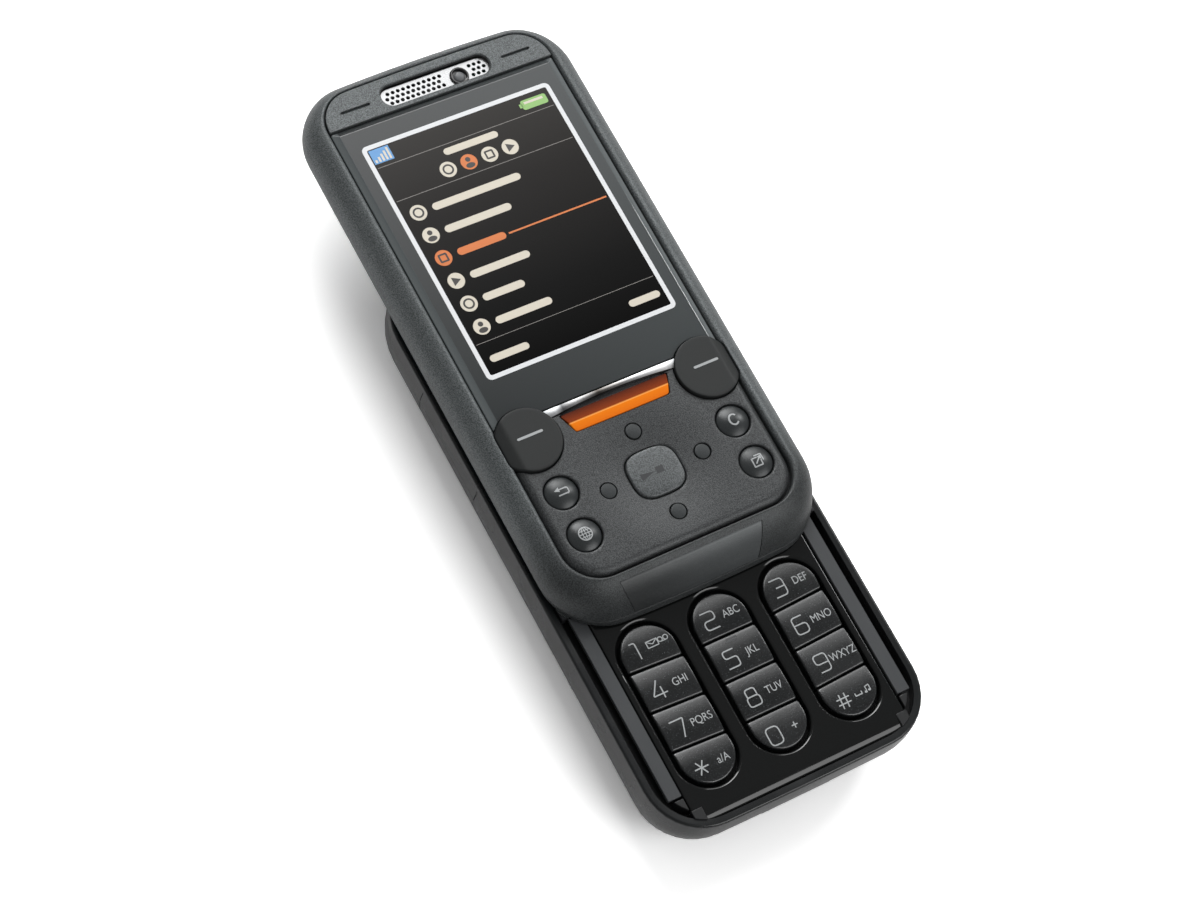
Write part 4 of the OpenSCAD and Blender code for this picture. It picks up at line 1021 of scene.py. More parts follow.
def ribbon(points, width, r=0.0, closed=False):
    """Points and faces of a flat band of a width along a line, with its corners rounded."""
    line = rounded_line(points, r, closed)
    count = len(line)
    if closed:
        ahead, behind = np.roll(line, -1, 0) - line, line - np.roll(line, 1, 0)
    else:
        steps = np.diff(line, axis=0)
        ahead, behind = np.vstack([steps, steps[-1:]]), np.vstack([steps[:1], steps])
    along = unit(unit(ahead) + unit(behind))
    across = np.column_stack([-along[:, 1], along[:, 0]])
    straight = np.maximum((across * np.column_stack([-unit(ahead)[:, 1], unit(ahead)[:, 0]]))
                          .sum(1), 0.5)
    off = across * (width / 2 / straight)[:, None]
    points = np.concatenate([line + off, line - off])
    last = count if closed else count - 1
    faces = [[i, count + i, count + (i + 1) % count, (i + 1) % count] for i in range(last)]
    return points, faces


def ring(x, y, rx, ry=None, start=0.0, end=2.0, count=40):
    """Points on an ellipse from one angle to another, in half turns."""
    a = np.linspace(start, end, count, endpoint=abs(end - start) < 1.999) * PI
    return np.column_stack([x + rx * np.cos(a), y + (rx if ry is None else ry) * np.sin(a)])


def area(outline):
    """Points and one face of a filled outline."""
    return np.array(outline, float), [list(range(len(outline)))]


def block(x0, y0, x1, y1):
    """Points and one face of a filled rectangle."""
    return area([(x0, y0), (x1, y0), (x1, y1), (x0, y1)])


def bar(x, y, half, r, turn=10):
    """Points and one face of a filled bar with round ends."""
    return area(capsule(x, y, half, r, turn)(0))


# Height of a capital letter of size 1
CAPITAL = 0.69


def letters(text, height, x, y, squeeze=1.0):
    """Points and faces of a line of letters whose capitals have a height, centred on x, y."""
    curve = bpy.data.curves.new("letters", "FONT")
    curve.body = text
    curve.align_x = "CENTER"
    curve.size = 1
    piece = new_object("letters", curve)
    bpy.context.view_layer.update()
    mesh = bpy.data.meshes.new_from_object(
        piece.evaluated_get(bpy.context.evaluated_depsgraph_get()))
    points = np.array([v.co[:2] for v in mesh.vertices])
    faces = [list(face.vertices) for face in mesh.polygons]
    bpy.data.objects.remove(piece)
    points *= height / CAPITAL
    points[:, 0] *= squeeze
    return points + (x, y - height / 2), faces


def printed(name, body, prints, top, finish, lift=0.03, step=None):
    """Flat prints as one thin layer that lies on the surface top(x, y). On a curved surface
    their edges are halved until none is longer than step."""
    xy, faces = joined(prints)
    if step:
        work = bmesh.new()
        spots = [work.verts.new((x, y, 0)) for x, y in xy]
        for face in faces:
            try:
                work.faces.new([spots[i] for i in face])
            except ValueError:
                pass
        for _ in range(5):
            bmesh.ops.triangulate(work, faces=work.faces)
            long = [edge for edge in work.edges if edge.calc_length() > step]
            if not long:
                break
            bmesh.ops.subdivide_edges(work, edges=long, cuts=1)
        work.verts.index_update()
        xy = np.array([v.co[:2] for v in work.verts])
        faces = [[v.index for v in face.verts] for face in work.faces]
        work.free()
    z = heights(top, xy) + lift
    make(name, (np.column_stack([xy, z]), faces), None, body, finish, 30)


def moved(strokes, x, y, scale=1.0):
    """Strokes as (points, width, r, closed), made ribbons, scaled and moved."""
    return [ribbon(np.array(points, float) * scale + (x, y), width, r * scale, closed)
            for points, width, r, closed in strokes]


# Squared digits, two units wide and nearly three high: strokes of (line, corner round, closed)
DIGIT_LINE = 0.2
DIGITS = {
    "1": [([(-0.75, 1.25), (0.1, 1.25), (0.1, -1.32)], 0.3, False)],
    "2": [([(-1, 1.32), (1, 1.32), (1, 0), (-1, 0), (-1, -1.32), (1.05, -1.32)], 0.55, False)],
    "3": [([(-1.05, 1.32), (0.95, 1.32), (0.95, -1.32), (-1.05, -1.32)], 0.55, False),
          ([(-0.5, 0.02), (0.95, 0.02)], 0, False)],
    "4": [([(0.25, 1.4), (-1.1, -0.72), (1.15, -0.72)], 0.2, False),
          ([(0.45, 0.35), (0.45, -1.4)], 0, False)],
    "5": [([(0.95, 1.32), (-0.9, 1.32), (-0.9, 0.15), (1, 0.15), (1, -1.32), (-1, -1.32)],
           0.45, False)],
    "6": [([(0.8, 1.32), (-1, 1.32), (-1, -1.32), (1, -1.32), (1, 0.12), (-0.98, 0.12)],
           0.55, False)],
    "7": [([(-1.1, 1.32), (1.05, 1.32), (0.15, -1.38)], 0.2, False)],
    "8": [([(-0.78, 0.12), (-0.78, 1.32), (0.78, 1.32), (0.78, 0.12)], 0.45, False),
          ([(-1, 0.12), (1, 0.12), (1, -1.32), (-1, -1.32)], 0.5, True)],
    "9": [([(-0.8, -1.32), (1, -1.32), (1, 1.32), (-1, 1.32), (-1, -0.12), (0.98, -0.12)],
           0.55, False)],
    "0": [([(-1, 1.32), (1, 1.32), (1, -1.32), (-1, -1.32)], 0.7, True)],
    "#": [([(-0.35, 1.1), (-0.5, -1.1)], 0, False), ([(0.5, 1.1), (0.35, -1.1)], 0, False),
          ([(-1.05, 0.4), (1.05, 0.4)], 0, False), ([(-1.05, -0.4), (1.05, -0.4)], 0, False)],
    "*": [([(-1.1 * math.cos(a), -1.1 * math.sin(a)), (1.1 * math.cos(a), 1.1 * math.sin(a))],
           0, False) for a in (0, PI / 3, 2 * PI / 3)],
}
LETTERS = {"2": "ABC", "3": "DEF", "4": "GHI", "5": "JKL", "6": "MNO", "7": "PQRS", "8": "TUV",
           "9": "WXYZ", "*": "a/A"}

# Where the digit and the letters stand from a key's middle, and their size
DIGIT_AT, DIGIT_SCALE = (-1.7, -0.35), 1.04
LETTERS_AT, LETTER_HEIGHT, LETTER_SQUEEZE = (1.95, -0.25), 1.2, 0.86

# Small marks beside a digit: their place, and strokes of (line, width, corner round, closed)
KEY_MARKS = {
    "1": [((0.95, -0.2), [([(-0.9, 0.5), (0.9, 0.5), (0.9, -0.5), (-0.9, -0.5)], 0.16, 0.05, True),
                          ([(-0.85, 0.45), (0, -0.1), (0.85, 0.45)], 0.14, 0.05, False)])],
    "0": [((1.9, -0.1), [([(-0.5, 0), (0.5, 0)], 0.17, 0, False),
                         ([(0, -0.5), (0, 0.5)], 0.17, 0, False)])],
    "#": [((0.9, -0.3), [([(-0.55, 0.25), (-0.55, -0.2), (0.55, -0.2), (0.55, 0.25)], 0.18, 0.05,
                          False)]),
          ((2.6, -0.1), [([(-0.3, -0.4), (-0.3, 0.4), (0.35, 0.5), (0.35, -0.3)], 0.15, 0.03,
                          False)])],
}


def digit(sign, x, y, scale):
    """Strokes of a squared digit."""
    return moved([(line, DIGIT_LINE, r, closed) for line, r, closed in DIGITS[sign]], x, y, scale)


def add_number_legends():
    """Digits, letters and small marks on the number keys."""
    for sign, (name, column, row) in zip("123456789*0#", number_keys()):
        x, y = key_middle(column, row)
        prints = digit(sign, x + DIGIT_AT[0], y + DIGIT_AT[1], DIGIT_SCALE)
        if sign in LETTERS:
            prints.append(letters(LETTERS[sign], LETTER_HEIGHT, x + LETTERS_AT[0],
                                  y + LETTERS_AT[1], LETTER_SQUEEZE))
        for (across, up), strokes in KEY_MARKS.get(sign, ()):
            prints += moved(strokes, x + across, y + up)
        if sign == "1":
            prints += [ribbon(ring(x + across, y - 0.1, 0.36), 0.15, 0, True)
                       for across in (2.3, 3.2)]
            prints.append(ribbon([(x + 2.3, y - 0.47), (x + 3.2, y - 0.47)], 0.14))
        if sign == "#":
            prints += [area(ring(x + 2.15, y - 0.5, 0.24, 0.18)),
                       area(ring(x + 2.8, y - 0.4, 0.24, 0.18))]
        printed(name + "_legend", name, prints, key_surface(column, row), LEGEND, 0.025, 0.5)
    x, y = key_middle(0, 1)
    tick = rounded(0.95, y + 2.45, y + 2.7, 0.1, 0.1, turn=4, side=4, end=4)
    for name, dark in (("mark", bar(x - 0.3, y + 2.15, 0.95, 0.17)), ("tick", area(tick(0)))):
        printed("key_5_" + name, "key_5", [dark], key_surface(0, 1), LEGEND_DARK, step=0.5)


def add_face_legends():
    """Marks on the keys of the key plate."""
    for name, x in (("left_soft_key", -15.0), ("right_soft_key", 15.4)):
        printed(name + "_mark", name, [bar(x, SOFT_Y + 0.5, 2.15, 0.2, 8)], soft_surface, LEGEND)
    left, right = -ROUND_X, ROUND_X
    top, low = ROUND_Y
    back = moved([([(-0.5, 0.4), (0.55, 0.4), (1, 0.4), (1, -0.5), (0.5, -0.5), (-0.75, -0.5)],
                   0.2, 0.4, False)], left, top)
    back.append(area([(left - 1.15, top + 0.4), (left - 0.35, top + 0.02),
                      (left - 0.35, top + 0.8)]))
    clear = [ribbon(ring(right, top, 0.72, 0.85, 0.22, 1.78, 24), 0.26)]
    web = [ribbon(ring(left, low, 1.02), 0.17, 0, True),
           ribbon(ring(left, low, 0.48, 1.0), 0.13, 0, True),
           ribbon([(left, low - 1), (left, low + 1)], 0.13)]
    for height in (-0.5, 0, 0.5):
        half = math.sqrt(1.02 ** 2 - height ** 2)
        web.append(ribbon([(left - half, low + height), (left + half, low + height)], 0.13))
    menu = moved([([(0.1, 0.45), (-0.8, 0.45), (-0.8, -0.9), (0.55, -0.9), (0.55, -0.1)], 0.2,
                   0.05, False),
                  ([(-0.25, 0.8), (0.95, 0.8), (0.95, -0.3)], 0.2, 0.05, False),
                  ([(-0.4, -0.5), (0.6, 0.45)], 0.2, 0, False)], right, low)
    menu.append(area([(right + 0.85, low + 0.62), (right + 0.1, low + 0.5),
                      (right + 0.7, low - 0.1)]))
    for name, x, y, prints in (("back", left, top, back), ("clear", right, top, clear),
                               ("web", left, low, web), ("menu", right, low, menu)):
        printed(name + "_mark", name + "_key", prints, round_top(x, y), LEGEND, 0.025, 0.3)
    centre = [area([(-2.6, DISH_Y - 0.75), (-0.3, DISH_Y - 0.05), (-2.6, DISH_Y + 0.35)]),
              block(0, DISH_Y - 0.55, 1.25, DISH_Y + 0.5)]
    printed("centre_mark", "centre_key", centre, CENTRE_TOP, LEGEND_DARK, 0.02, 0.5)


# ------------------------------------------------------------------------ screen

FRAME_HALF, FRAME_Y = 16.35, (9.1, 51.5)
FRAME_LINE = 0.72

# Thin layers on the glass, from the field up to the dark signs
SCREEN_LAYERS = (0.006, 0.012, 0.018, 0.024)

# Places of the tabs, the list and its bars, and which tab, mark and bar are orange
TAB_Y, TABS_X = 43.3, (-5.4, -1.8, 1.8, 5.4)
LIST_X, LIST_Y, LIST_PITCH = -13.1, 38.3, 4.15
BAR_LENGTHS = (15.2, 11.4, 8.3, 10.2, 7.1, 9.6)
CHOSEN_MARKS, CHOSEN_ROW = (1, 6), 2


def on_screen(name, prints, finish, layer):
    """Prints in one of the layers of the screen."""
    printed("screen_" + name, "upper_half", prints, flat(FACE_Z), finish, SCREEN_LAYERS[layer])


def sign_in(x, y, kind):
    """Dark sign in a round mark: a ring, a figure, a square or an arrow."""
    if kind == 0:
        return [ribbon(ring(x, y, 0.75), 0.3, 0, True)]
    if kind == 1:
        return [area(ring(x, y + 0.45, 0.42)), area(ring(x, y - 0.6, 0.75, 0.45))]
    if kind == 2:
        return [ribbon([(x - 0.6, y - 0.6), (x - 0.6, y + 0.6), (x + 0.6, y + 0.6),
                        (x + 0.6, y - 0.6)], 0.3, 0.1, True)]
    return [area([(x - 0.55, y - 0.75), (x + 0.8, y), (x - 0.55, y + 0.75)])]


def add_screen():
    """Screen seen through the window: a white frame, a dark field that fades to black, and a
    plain list of round marks and bars with one row chosen."""
    right, low, high = FRAME_HALF - FRAME_LINE, FRAME_Y[0] + FRAME_LINE, FRAME_Y[1] - FRAME_LINE
    left = -right
    outer = rounded(FRAME_HALF, *FRAME_Y, 0.9, 0.9, turn=6, side=8, end=8)(0)
    hole = rounded(right, low, high, 0.3, 0.3, turn=6, side=8, end=8)(0)
    count = len(outer)
    faces = [[i, (i + 1) % count, count + (i + 1) % count, count + i] for i in range(count)]
    on_screen("frame", [(np.concatenate([outer, hole]), faces)], WHITE_PRINT, 1)
    on_screen("field", [block(left - 0.05, low - 0.05, right + 0.05, high + 0.05)], SCREEN, 0)
    on_screen("lines", [ribbon([(left + 0.3, y), (right - 0.3, y)], 0.09)
                        for y in (47.4, 41.2, 15.1)], SCREEN_LINE, 1)
    on_screen("signal", [block(left + 0.2, 48.1, left + 3.5, 50.6)], SIGNAL_BLUE, 1)
    on_screen("bars", [ribbon([(left + 0.65 + 0.6 * i, 48.3),
                               (left + 0.65 + 0.6 * i, 48.8 + 0.38 * i)], 0.34)
                       for i in range(5)], CREAM, 2)
    cell = rounded(2.2, 48.2, 49.9, 0.35, 0.35, turn=4, side=4, end=4)(0) + (right - 2.9, 0)
    nub = block(right - 5.5, 48.7, right - 5.0, 49.4)
    on_screen("cell", [area(cell), nub], BATTERY_GREEN, 1)
    on_screen("cell_shine", [ribbon([(right - 4.6, 49.35), (right - 1.3, 49.35)], 0.4)], CREAM, 2)
    tabs = [(x, TAB_Y) for x in TABS_X]
    rows = [(LIST_X, LIST_Y - LIST_PITCH * i) for i in range(len(BAR_LENGTHS))]
    cream, dark, orange = [], [], []
    for i, (x, y) in enumerate(tabs + rows):
        (orange if i in CHOSEN_MARKS else cream).append(area(ring(x, y, 1.34, count=36)))
        dark += sign_in(x, y, i % 4)
    for i, ((x, y), length) in enumerate(zip(rows, BAR_LENGTHS)):
        line = bar(x + 2.4 + length / 2, y, length / 2, 0.62)
        (orange if i == CHOSEN_ROW else cream).append(line)
    x, y = rows[CHOSEN_ROW]
    orange.append(ribbon([(x + 2.9 + BAR_LENGTHS[CHOSEN_ROW], y), (right - 0.4, y)], 0.28))
    for x, length, y in ((-11.2, 6.6, 12.2), (12.2, 5.4, 12.2), (0, 9.4, 46.15)):
        cream.append(bar(x, y, length / 2, 0.58))
    on_screen("cream", cream, CREAM, 2)
    on_screen("orange", orange, SCREEN_ORANGE, 2)
    on_screen("dark", dark, SCREEN_DARK, 3)


def add_chrome_strip():
    """Bright strip between the soft keys: a crescent that narrows to its middle, crowned."""
    columns, rows = 41, 9
    x = np.linspace(-SOFT_X + 3.75, SOFT_X - 3.75, columns)
    u = x / x[-1]
    top = np.full(columns, NAV_HIGH[1] - 0.12)
    low = PLAYER_TOP + 0.14 + 0.75 * (1 - u ** 2)
    v = np.linspace(0, 1, rows)[:, None]
    y = low + (top - low) * v
    z = FACE_Z + 0.06 - 0.2 * (v - 0.45) ** 2 + np.zeros(columns)
    outer = np.stack([np.broadcast_to(x, y.shape), y, z], -1)
    form = slab(outer, outer - (0, 0, 0.8))
    piece = make("chrome_strip_piece", form, "chrome", "upper_half", CHROME, 60)
    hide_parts("chrome_strip")


# -------------------------------------------------------------------- lower half

# Heights of the rim, the lower half's widest line and the deck, and the deck's plan
RIM_Z = HOUSE_HIGH[2]
HOUSE_BELLY = 10.5
DECK_Z = DECK_HIGH[2]
DECK_HALF = 18.5
DECK_Y0, DECK_Y1 = DECK_LOW[1], DECK_HIGH[1]

# Notches in the deck's lower corners, under the ends of the rails
NOTCH_X, NOTCH_HALF, NOTCH_Y = 17.9, 1.15, DECK_Y0 + 1.75

# Number keys: their width and their slots', pitches, the pad's middle, the gap between keys,
# the slant of the outer columns' seams, and the crown of their tops
KEY_HALF, KEY_SLOT_HALF = 4.45, 5.0
PITCH_X, PITCH_Y = 12.3, 6.5
PAD_Y = HOUSE_LOW[1] + 19
KEY_GAP = 0.25
KEY_REACH = 2 * PITCH_Y - KEY_GAP / 2 - KEY_HALF
SLANT = math.radians(3)
CROWN_R = 16
KEY_TOP = DECK_Z + 0.2
KEY_NAMES = (("key_1", "key_2", "key_3"), ("key_4", "key_5", "key_6"),
             ("key_7", "key_8", "key_9"), ("key_star", "key_0", "key_hash"))


def number_keys():
    """Name, column and row of each number key: columns -1 to 1, rows 0 to 3 downwards."""
    return [(name, column, row) for row, names in enumerate(KEY_NAMES)
            for column, name in zip((-1, 0, 1), names)]


def key_middle(column, row):
    """Middle of a number key."""
    return column * PITCH_X, PAD_Y + (1.5 - row) * PITCH_Y - (0.3 if column == 0 else 0)


def key_plan(column, row):
    """Plan of a number key: one band of its column's slot shape, slanted in outer columns."""
    x, y = key_middle(column, row)
    half = (PITCH_Y - KEY_GAP) / 2
    tilt = column * SLANT
    limits = [edge_capsule(KEY_HALF, PAD_Y + KEY_REACH - y, PAD_Y - KEY_REACH - y)]
    if row > 0:
        limits.append(edge_line(-math.sin(tilt), math.cos(tilt), half))
    if row < 3:
        limits.append(edge_line(math.sin(tilt), -math.cos(tilt), half))
    return rays(limits, (x, y), count=160, hardness=50)


def key_surface(column, row):
    """Top of a number key: crowned along its column."""
    y0 = key_middle(column, row)[1]
    return lambda x, y: KEY_TOP - CROWN_R + np.sqrt(CROWN_R ** 2 - (y - y0) ** 2)


def slot_plan(column):
    """Plan of the slot round a column of keys."""
    return rays([edge_capsule(KEY_SLOT_HALF, KEY_REACH, -KEY_REACH)], (column * PITCH_X, PAD_Y),
                count=200, hardness=1)


def deck_outline(shrink=0.0):
    """Plan of the keypad deck."""
    return rounded(DECK_HALF, DECK_Y0, DECK_Y1, 1.6, 2.2, turn=10, side=60, end=30)(shrink)


def house_plan(shrink, z=HOUSE_BELLY):
    """Plan of the lower half at a height, with the deck's number of points. Below the widest
    line its section is part of an ellipse, and above it the walls lean in a little."""
    if z < HOUSE_BELLY:
        inset = 8 * (1 - math.sqrt(max(1 - ((HOUSE_BELLY - z) / HOUSE_BELLY) ** 2, 0)))
    else:
        inset = (z - HOUSE_BELLY) ** 2 / 60
    return rounded(HOUSE_HIGH[0] - inset, HOUSE_LOW[1] + inset, HOUSE_HIGH[1] - inset,
                   max(9 - inset * 0.6, 2), max(10.5 - inset * 0.6, 2), bow=(0.25, 0.25),
                   turn=10, side=60, end=30)(shrink)


def add_deck():
    """Keypad deck: a glossy plate whose bottom end rolls off widely, with three slots with
    rounded rims, on black walls, a flange and a floor with a hole under each key."""
    base = deck_outline(0)
    share = np.clip((DECK_Y0 + 2.4 - base[:, 1]) / 1.4, 0, 1)
    drop = 0.4 + 0.75 * share
    loops = [(base, DECK_Z - 1.2)]
    for a in np.linspace(0, PI / 2, 9):
        inset = 1 - math.cos(a)
        wide, narrow = deck_outline(2.2 * inset), deck_outline(0.4 * inset)
        loops.append((narrow + (wide - narrow) * share[:, None], DECK_Z - drop * (1 - math.sin(a))))
    deck = make("keypad_plate_piece", lofted(loops), "black_gloss", "lower_half", DECK_GLOSS)
    tools = [cutter_points(slot_plan(column), flat(DECK_Z), DECK_Z - 3, 0.5)
             for column in (-1, 0, 1)]
    for x in (-NOTCH_X, NOTCH_X):
        tools.append(box_tool((x - NOTCH_HALF, DECK_Y0 - 1, 5), (x + NOTCH_HALF, NOTCH_Y, 20)))
    cut_each(deck, tools)
    flat_shading(deck)
    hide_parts("keypad_plate")
    low = DECK_Z - 3
    loops = [(house_plan(1.35), low), (house_plan(1.35), low + 0.6),
             (deck_outline(0.05), low + 0.6), (deck_outline(0.05), DECK_Z - 1.25),
             (deck_outline(0.7), DECK_Z - 1.25), (deck_outline(0.7), low)]
    form = lofted(loops, closed=True)
    make("keypad_flange", form, "black_gloss", "lower_half", BLACK)
    form = lofted([(deck_outline(0.8), low - 0.4), (deck_outline(0.8), low - 0.2)])
    floor = make("keypad_floor", form, "black_gloss", "lower_half", BLACK)
    cut(floor, [cutter_points(disc(*key_middle(column, row), 1.5, 24), flat(low), low - 2, 0.05)
                for column in (-1, 0, 1) for row in range(4)])


def add_number_keys():
    """The twelve number keys."""
    for name, column, row in number_keys():
        add_key(name, key_plan(column, row), key_surface(column, row), DECK_Z - 2, 0.28,
                "number_key", NUMBER_KEY)


def side_slot(centre, out, half, r, depth):
    """Points and faces of a rounded bar that pokes through a wall: centre is on its axis, out
    points outwards, and half and r size its section along the wall and upwards. Its first
    SIDE_POINTS points are the inner section."""
    centre, out = np.array(centre, float), np.array(out, float)
    along = np.cross(out, (0, 0, 1))
    a = np.linspace(0, 2 * PI, SIDE_POINTS, endpoint=False)
    u = np.clip(np.cos(a) * 1e3, -1, 1) * (half - r) + r * np.cos(a)
    w = r * np.sin(a)
    section = u[:, None] * along + w[:, None] * np.array((0, 0, 1.0))
    rings = np.concatenate([centre - out * depth + section, centre + out * depth + section])
    return rings, tube_faces(2)


def tube_faces(rings):
    """Faces of a closed tube through rings of SIDE_POINTS points."""
    last = SIDE_POINTS * (rings - 1)
    return (grid_faces(rings, SIDE_POINTS, True)
            + [list(range(SIDE_POINTS))[::-1], list(range(last, last + SIDE_POINTS))])


def house_loops(shrink, z_low, z_high, count=26):
    """Plans of the lower half at heights from z_low up, drawn in by shrink."""
    share = np.linspace(0, 1, count)
    levels = z_low + (z_high - z_low) * share ** 1.35
    return [(house_plan(shrink, z), z) for z in levels]


def inner_loops(shrink, lowest):
    """Plans of the lower half's inside, from the rim down."""
    return [(house_plan(shrink, max(z, 0.9)), z) for z in (9.5, 7.5, 5.6, 4, 2.8, 1.9, lowest)]


# Seams of the battery cover and the card door
SEAM_Z = 4.6
COVER_Y = (HOUSE_LOW[1] + 12, HOUSE_HIGH[1] - 26)
DOOR_Y = (HOUSE_HIGH[1] - 37.5, HOUSE_HIGH[1] - 19.9)
DOOR_Z = (4.9, 9.9)

# Side keys: middle, way out, half length and half height
SIDE_Z = 7.5
SIDE_POINTS = 48
SIDE_KEYS = {
    "volume_rocker": ((23.2, HOUSE_HIGH[1] - 23), (1, 0, 0), 8, 1.2),
    "camera_key": ((23.2, HOUSE_LOW[1] + 30), (1, 0, 0), 4, 1.2),
    "power_key": ((10, HOUSE_HIGH[1] - 0.35), (0, 1, 0), 3.5, 1.2),
}


def cover_tool(gap):
    """Box that holds the battery cover, drawn in by the gap at its seam."""
    return box_tool((-40, COVER_Y[0] + gap, -5), (40, COVER_Y[1] - gap, SEAM_Z - gap))


def door_tool(gap):
    """Box that holds the card door in the left wall, drawn in by the gap at its seam."""
    return box_tool((-40, DOOR_Y[0] + gap, DOOR_Z[0] + gap),
                    (-21, DOOR_Y[1] - gap, DOOR_Z[1] - gap))


# Openings of the housing: camera, speaker slots, screw holes and the connector's window
CAMERA_X, CAMERA_Y, CAMERA_R = -9, HOUSE_HIGH[1] - 12.5, 4.45
SPEAKER_X, SPEAKER_Y, SPEAKER_PITCH = 8.5, HOUSE_HIGH[1] - 14.6, 2
SPEAKER_HALF, SPEAKER_R = 4, 0.45
SCREW_X, SCREW_Y = (-14.5, 14.5), (HOUSE_LOW[1] + 4.2, HOUSE_HIGH[1] - 5)
SCREW_HOLE_R, SCREW_HOLE_TOP = 1.7, 3.8
PLUG_HALF, PLUG_Z = 6.2, (5.25, 8.15)
SEAM_HALF, SEAM_TOP = 0.07, 12.7


def add_housing():
    """Rear housing: a bowl lofted through plans at rising heights, with a rounded rim. Tools
    open it for the battery cover, the card door, the side keys, the connector, the screws, the
    camera and the sound, and draw the seams that run from the door to the rim."""
    loops = house_loops(0, 0, RIM_Z - 0.45)
    loops += [(house_plan(0.45 * (1 - math.cos(a)), RIM_Z - 0.45), RIM_Z - 0.45 * (1 - math.sin(a)))
              for a in np.linspace(0.25, PI / 2, 6)]
    loops += [(house_plan(1.2, RIM_Z - 0.1), RIM_Z - 0.06), (house_plan(1.25, RIM_Z), RIM_Z - 0.3)]
    form = lofted(loops + inner_loops(1.25, 1.3))
    piece = make("rear_housing_piece", form, "housing_plastic", "lower_half", HOUSING)
    tools = [cover_tool(0), door_tool(0)]
    for (x, y), out, half, r in SIDE_KEYS.values():
        tools.append(side_slot((x, y, SIDE_Z), out, half + 0.15, r + 0.15, 3))
    tools.append(box_tool((-PLUG_HALF, HOUSE_LOW[1] - 3, PLUG_Z[0]),
                          (PLUG_HALF, HOUSE_LOW[1] + 3, PLUG_Z[1])))
    for x in SCREW_X:
        for y in SCREW_Y:
            tools.append(cutter_points(disc(x, y, SCREW_HOLE_R, 32), flat(SCREW_HOLE_TOP), -3,
                                       0.02))
    for y in DOOR_Y:
        tools.append(box_tool((-30, y - SEAM_HALF, DOOR_Z[1] + 0.05),
                              (HOUSE_LOW[0] + 0.2, y + SEAM_HALF, SEAM_TOP)))
    tools.append(cutter_points(disc(CAMERA_X, CAMERA_Y, CAMERA_R, 64), flat(0.7), -3, 0.02,
                               above=1))
    for i in (-1, 0, 1):
        slot = capsule(SPEAKER_X, SPEAKER_Y + SPEAKER_PITCH * i, SPEAKER_HALF, SPEAKER_R, 10)
        tools.append(cutter_points(slot, flat(3), -3, 0.02))
    cut_each(piece, tools)
    flat_shading(piece)
    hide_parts("rear_housing")


def add_cover_and_door():
    """Battery cover and card door: parts of the housing's own form, set in their openings."""
    for name, body, tool in (("battery_cover", "lower_half", cover_tool(0.12)),
                             ("card_door", "card_door", door_tool(0.12))):
        loops = house_loops(0.02, 0.0, RIM_Z - 1) + [(house_plan(1, RIM_Z - 1), RIM_Z - 1)]
        form = lofted(loops + inner_loops(1, 1.0))
        piece = make(name + "_piece", form, "housing_plastic", body, HOUSING)
        cut(piece, [tool], "INTERSECT")
        round_edges(piece, 0.12, 50)
        flat_shading(piece)
        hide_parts(name)


def add_side_keys():
    """Volume rocker, camera key and power key: rounded bars that stand out of the wall."""
    for name, ((x, y), out, half, r) in SIDE_KEYS.items():
        centre = np.array((x, y, SIDE_Z), float)
        section = side_slot(centre, out, half, r, 0)[0][:SIDE_POINTS] - centre
        out = np.array(out, float)
        rings = [centre + section - out * 1.5, centre + section + out * 0.05]
        rings += [centre + section * size + out * rise
                  for size, rise in ((0.97, 0.2), (0.9, 0.3), (0.6, 0.36), (0.2, 0.38))]
        form = np.concatenate(rings), tube_faces(len(rings))
        piece = make(name + "_piece", form, "side_key", name, SIDE_KEY)
        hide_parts(name)


def add_rear_lens():
    """Lens and its ring in the recess of the camera window."""
    low, high = corners("camera_window")
    x, y = (low[0] + high[0]) / 2, (low[1] + high[1]) / 2
    for name, mark, finish, lift in (
            ("rear_lens", area(ring(x, y, 1.95, count=48)), LENS, -0.05),
            ("rear_lens_ring", ribbon(ring(x, y, 2.1, count=48), 0.3, 0, True), STEEL, -0.08)):
        printed(name, "lower_half", [mark], flat(0.3), finish, lift)


def add_screws():
    """Four screws whose cross heads sit deep in the holes of the housing."""
    places = [(x, y) for x in (SCREW_LOW[0] + 1.5, SCREW_HIGH[0] - 1.5)
              for y in (SCREW_LOW[1] + 1.5, SCREW_HIGH[1] - 1.5)]
    profile = ((1.1, 3), (1.3, 3.15), (1.3, 3.9), (0.8, 3.9), (0.8, SCREW_HIGH[2]))
    form = joined([lofted([(disc(x, y, r)(0), z) for r, z in profile]) for x, y in places])
    slot = SLOT_OF["housing_screws"]
    piece = make("housing_screws_piece", form, slot, "lower_half", LOOKS[slot])
    cut_each(piece, [box_tool((x - wide, y - long, 2), (x + wide, y + long, 3.5))
                     for x, y in places for wide, long in ((0.18, 0.8), (0.8, 0.18))])
    flat_shading(piece)
    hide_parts("housing_screws")


CAD_BEVELS = {
    "slide_rails": 0.12, "slide_carriage": 0.1, "speaker_grille": 0, "main_board": 0.05,
    "shield_cans": 0.12, "battery": 0.25, "sim_holder": 0.06, "memory_card": 0.06,
    "card_socket": 0.08, "loudspeaker": 0.12, "camera_window": 0.08, "rear_camera": 0.12,
    "system_connector": 0.1, "antenna": 0.1, "vibration_motor": 0.08,
}


def add_cad_pieces():
    """Parts that keep their CAD form, with small rounds on their edges."""
    for node in frame["nodes"]:
        if node in CAD_BEVELS:
            slot = SLOT_OF[node]
            finish = DARK_STEEL if node == "slide_carriage" else LOOKS[slot]
            from_cad(node, slot, finish, CAD_BEVELS[node])


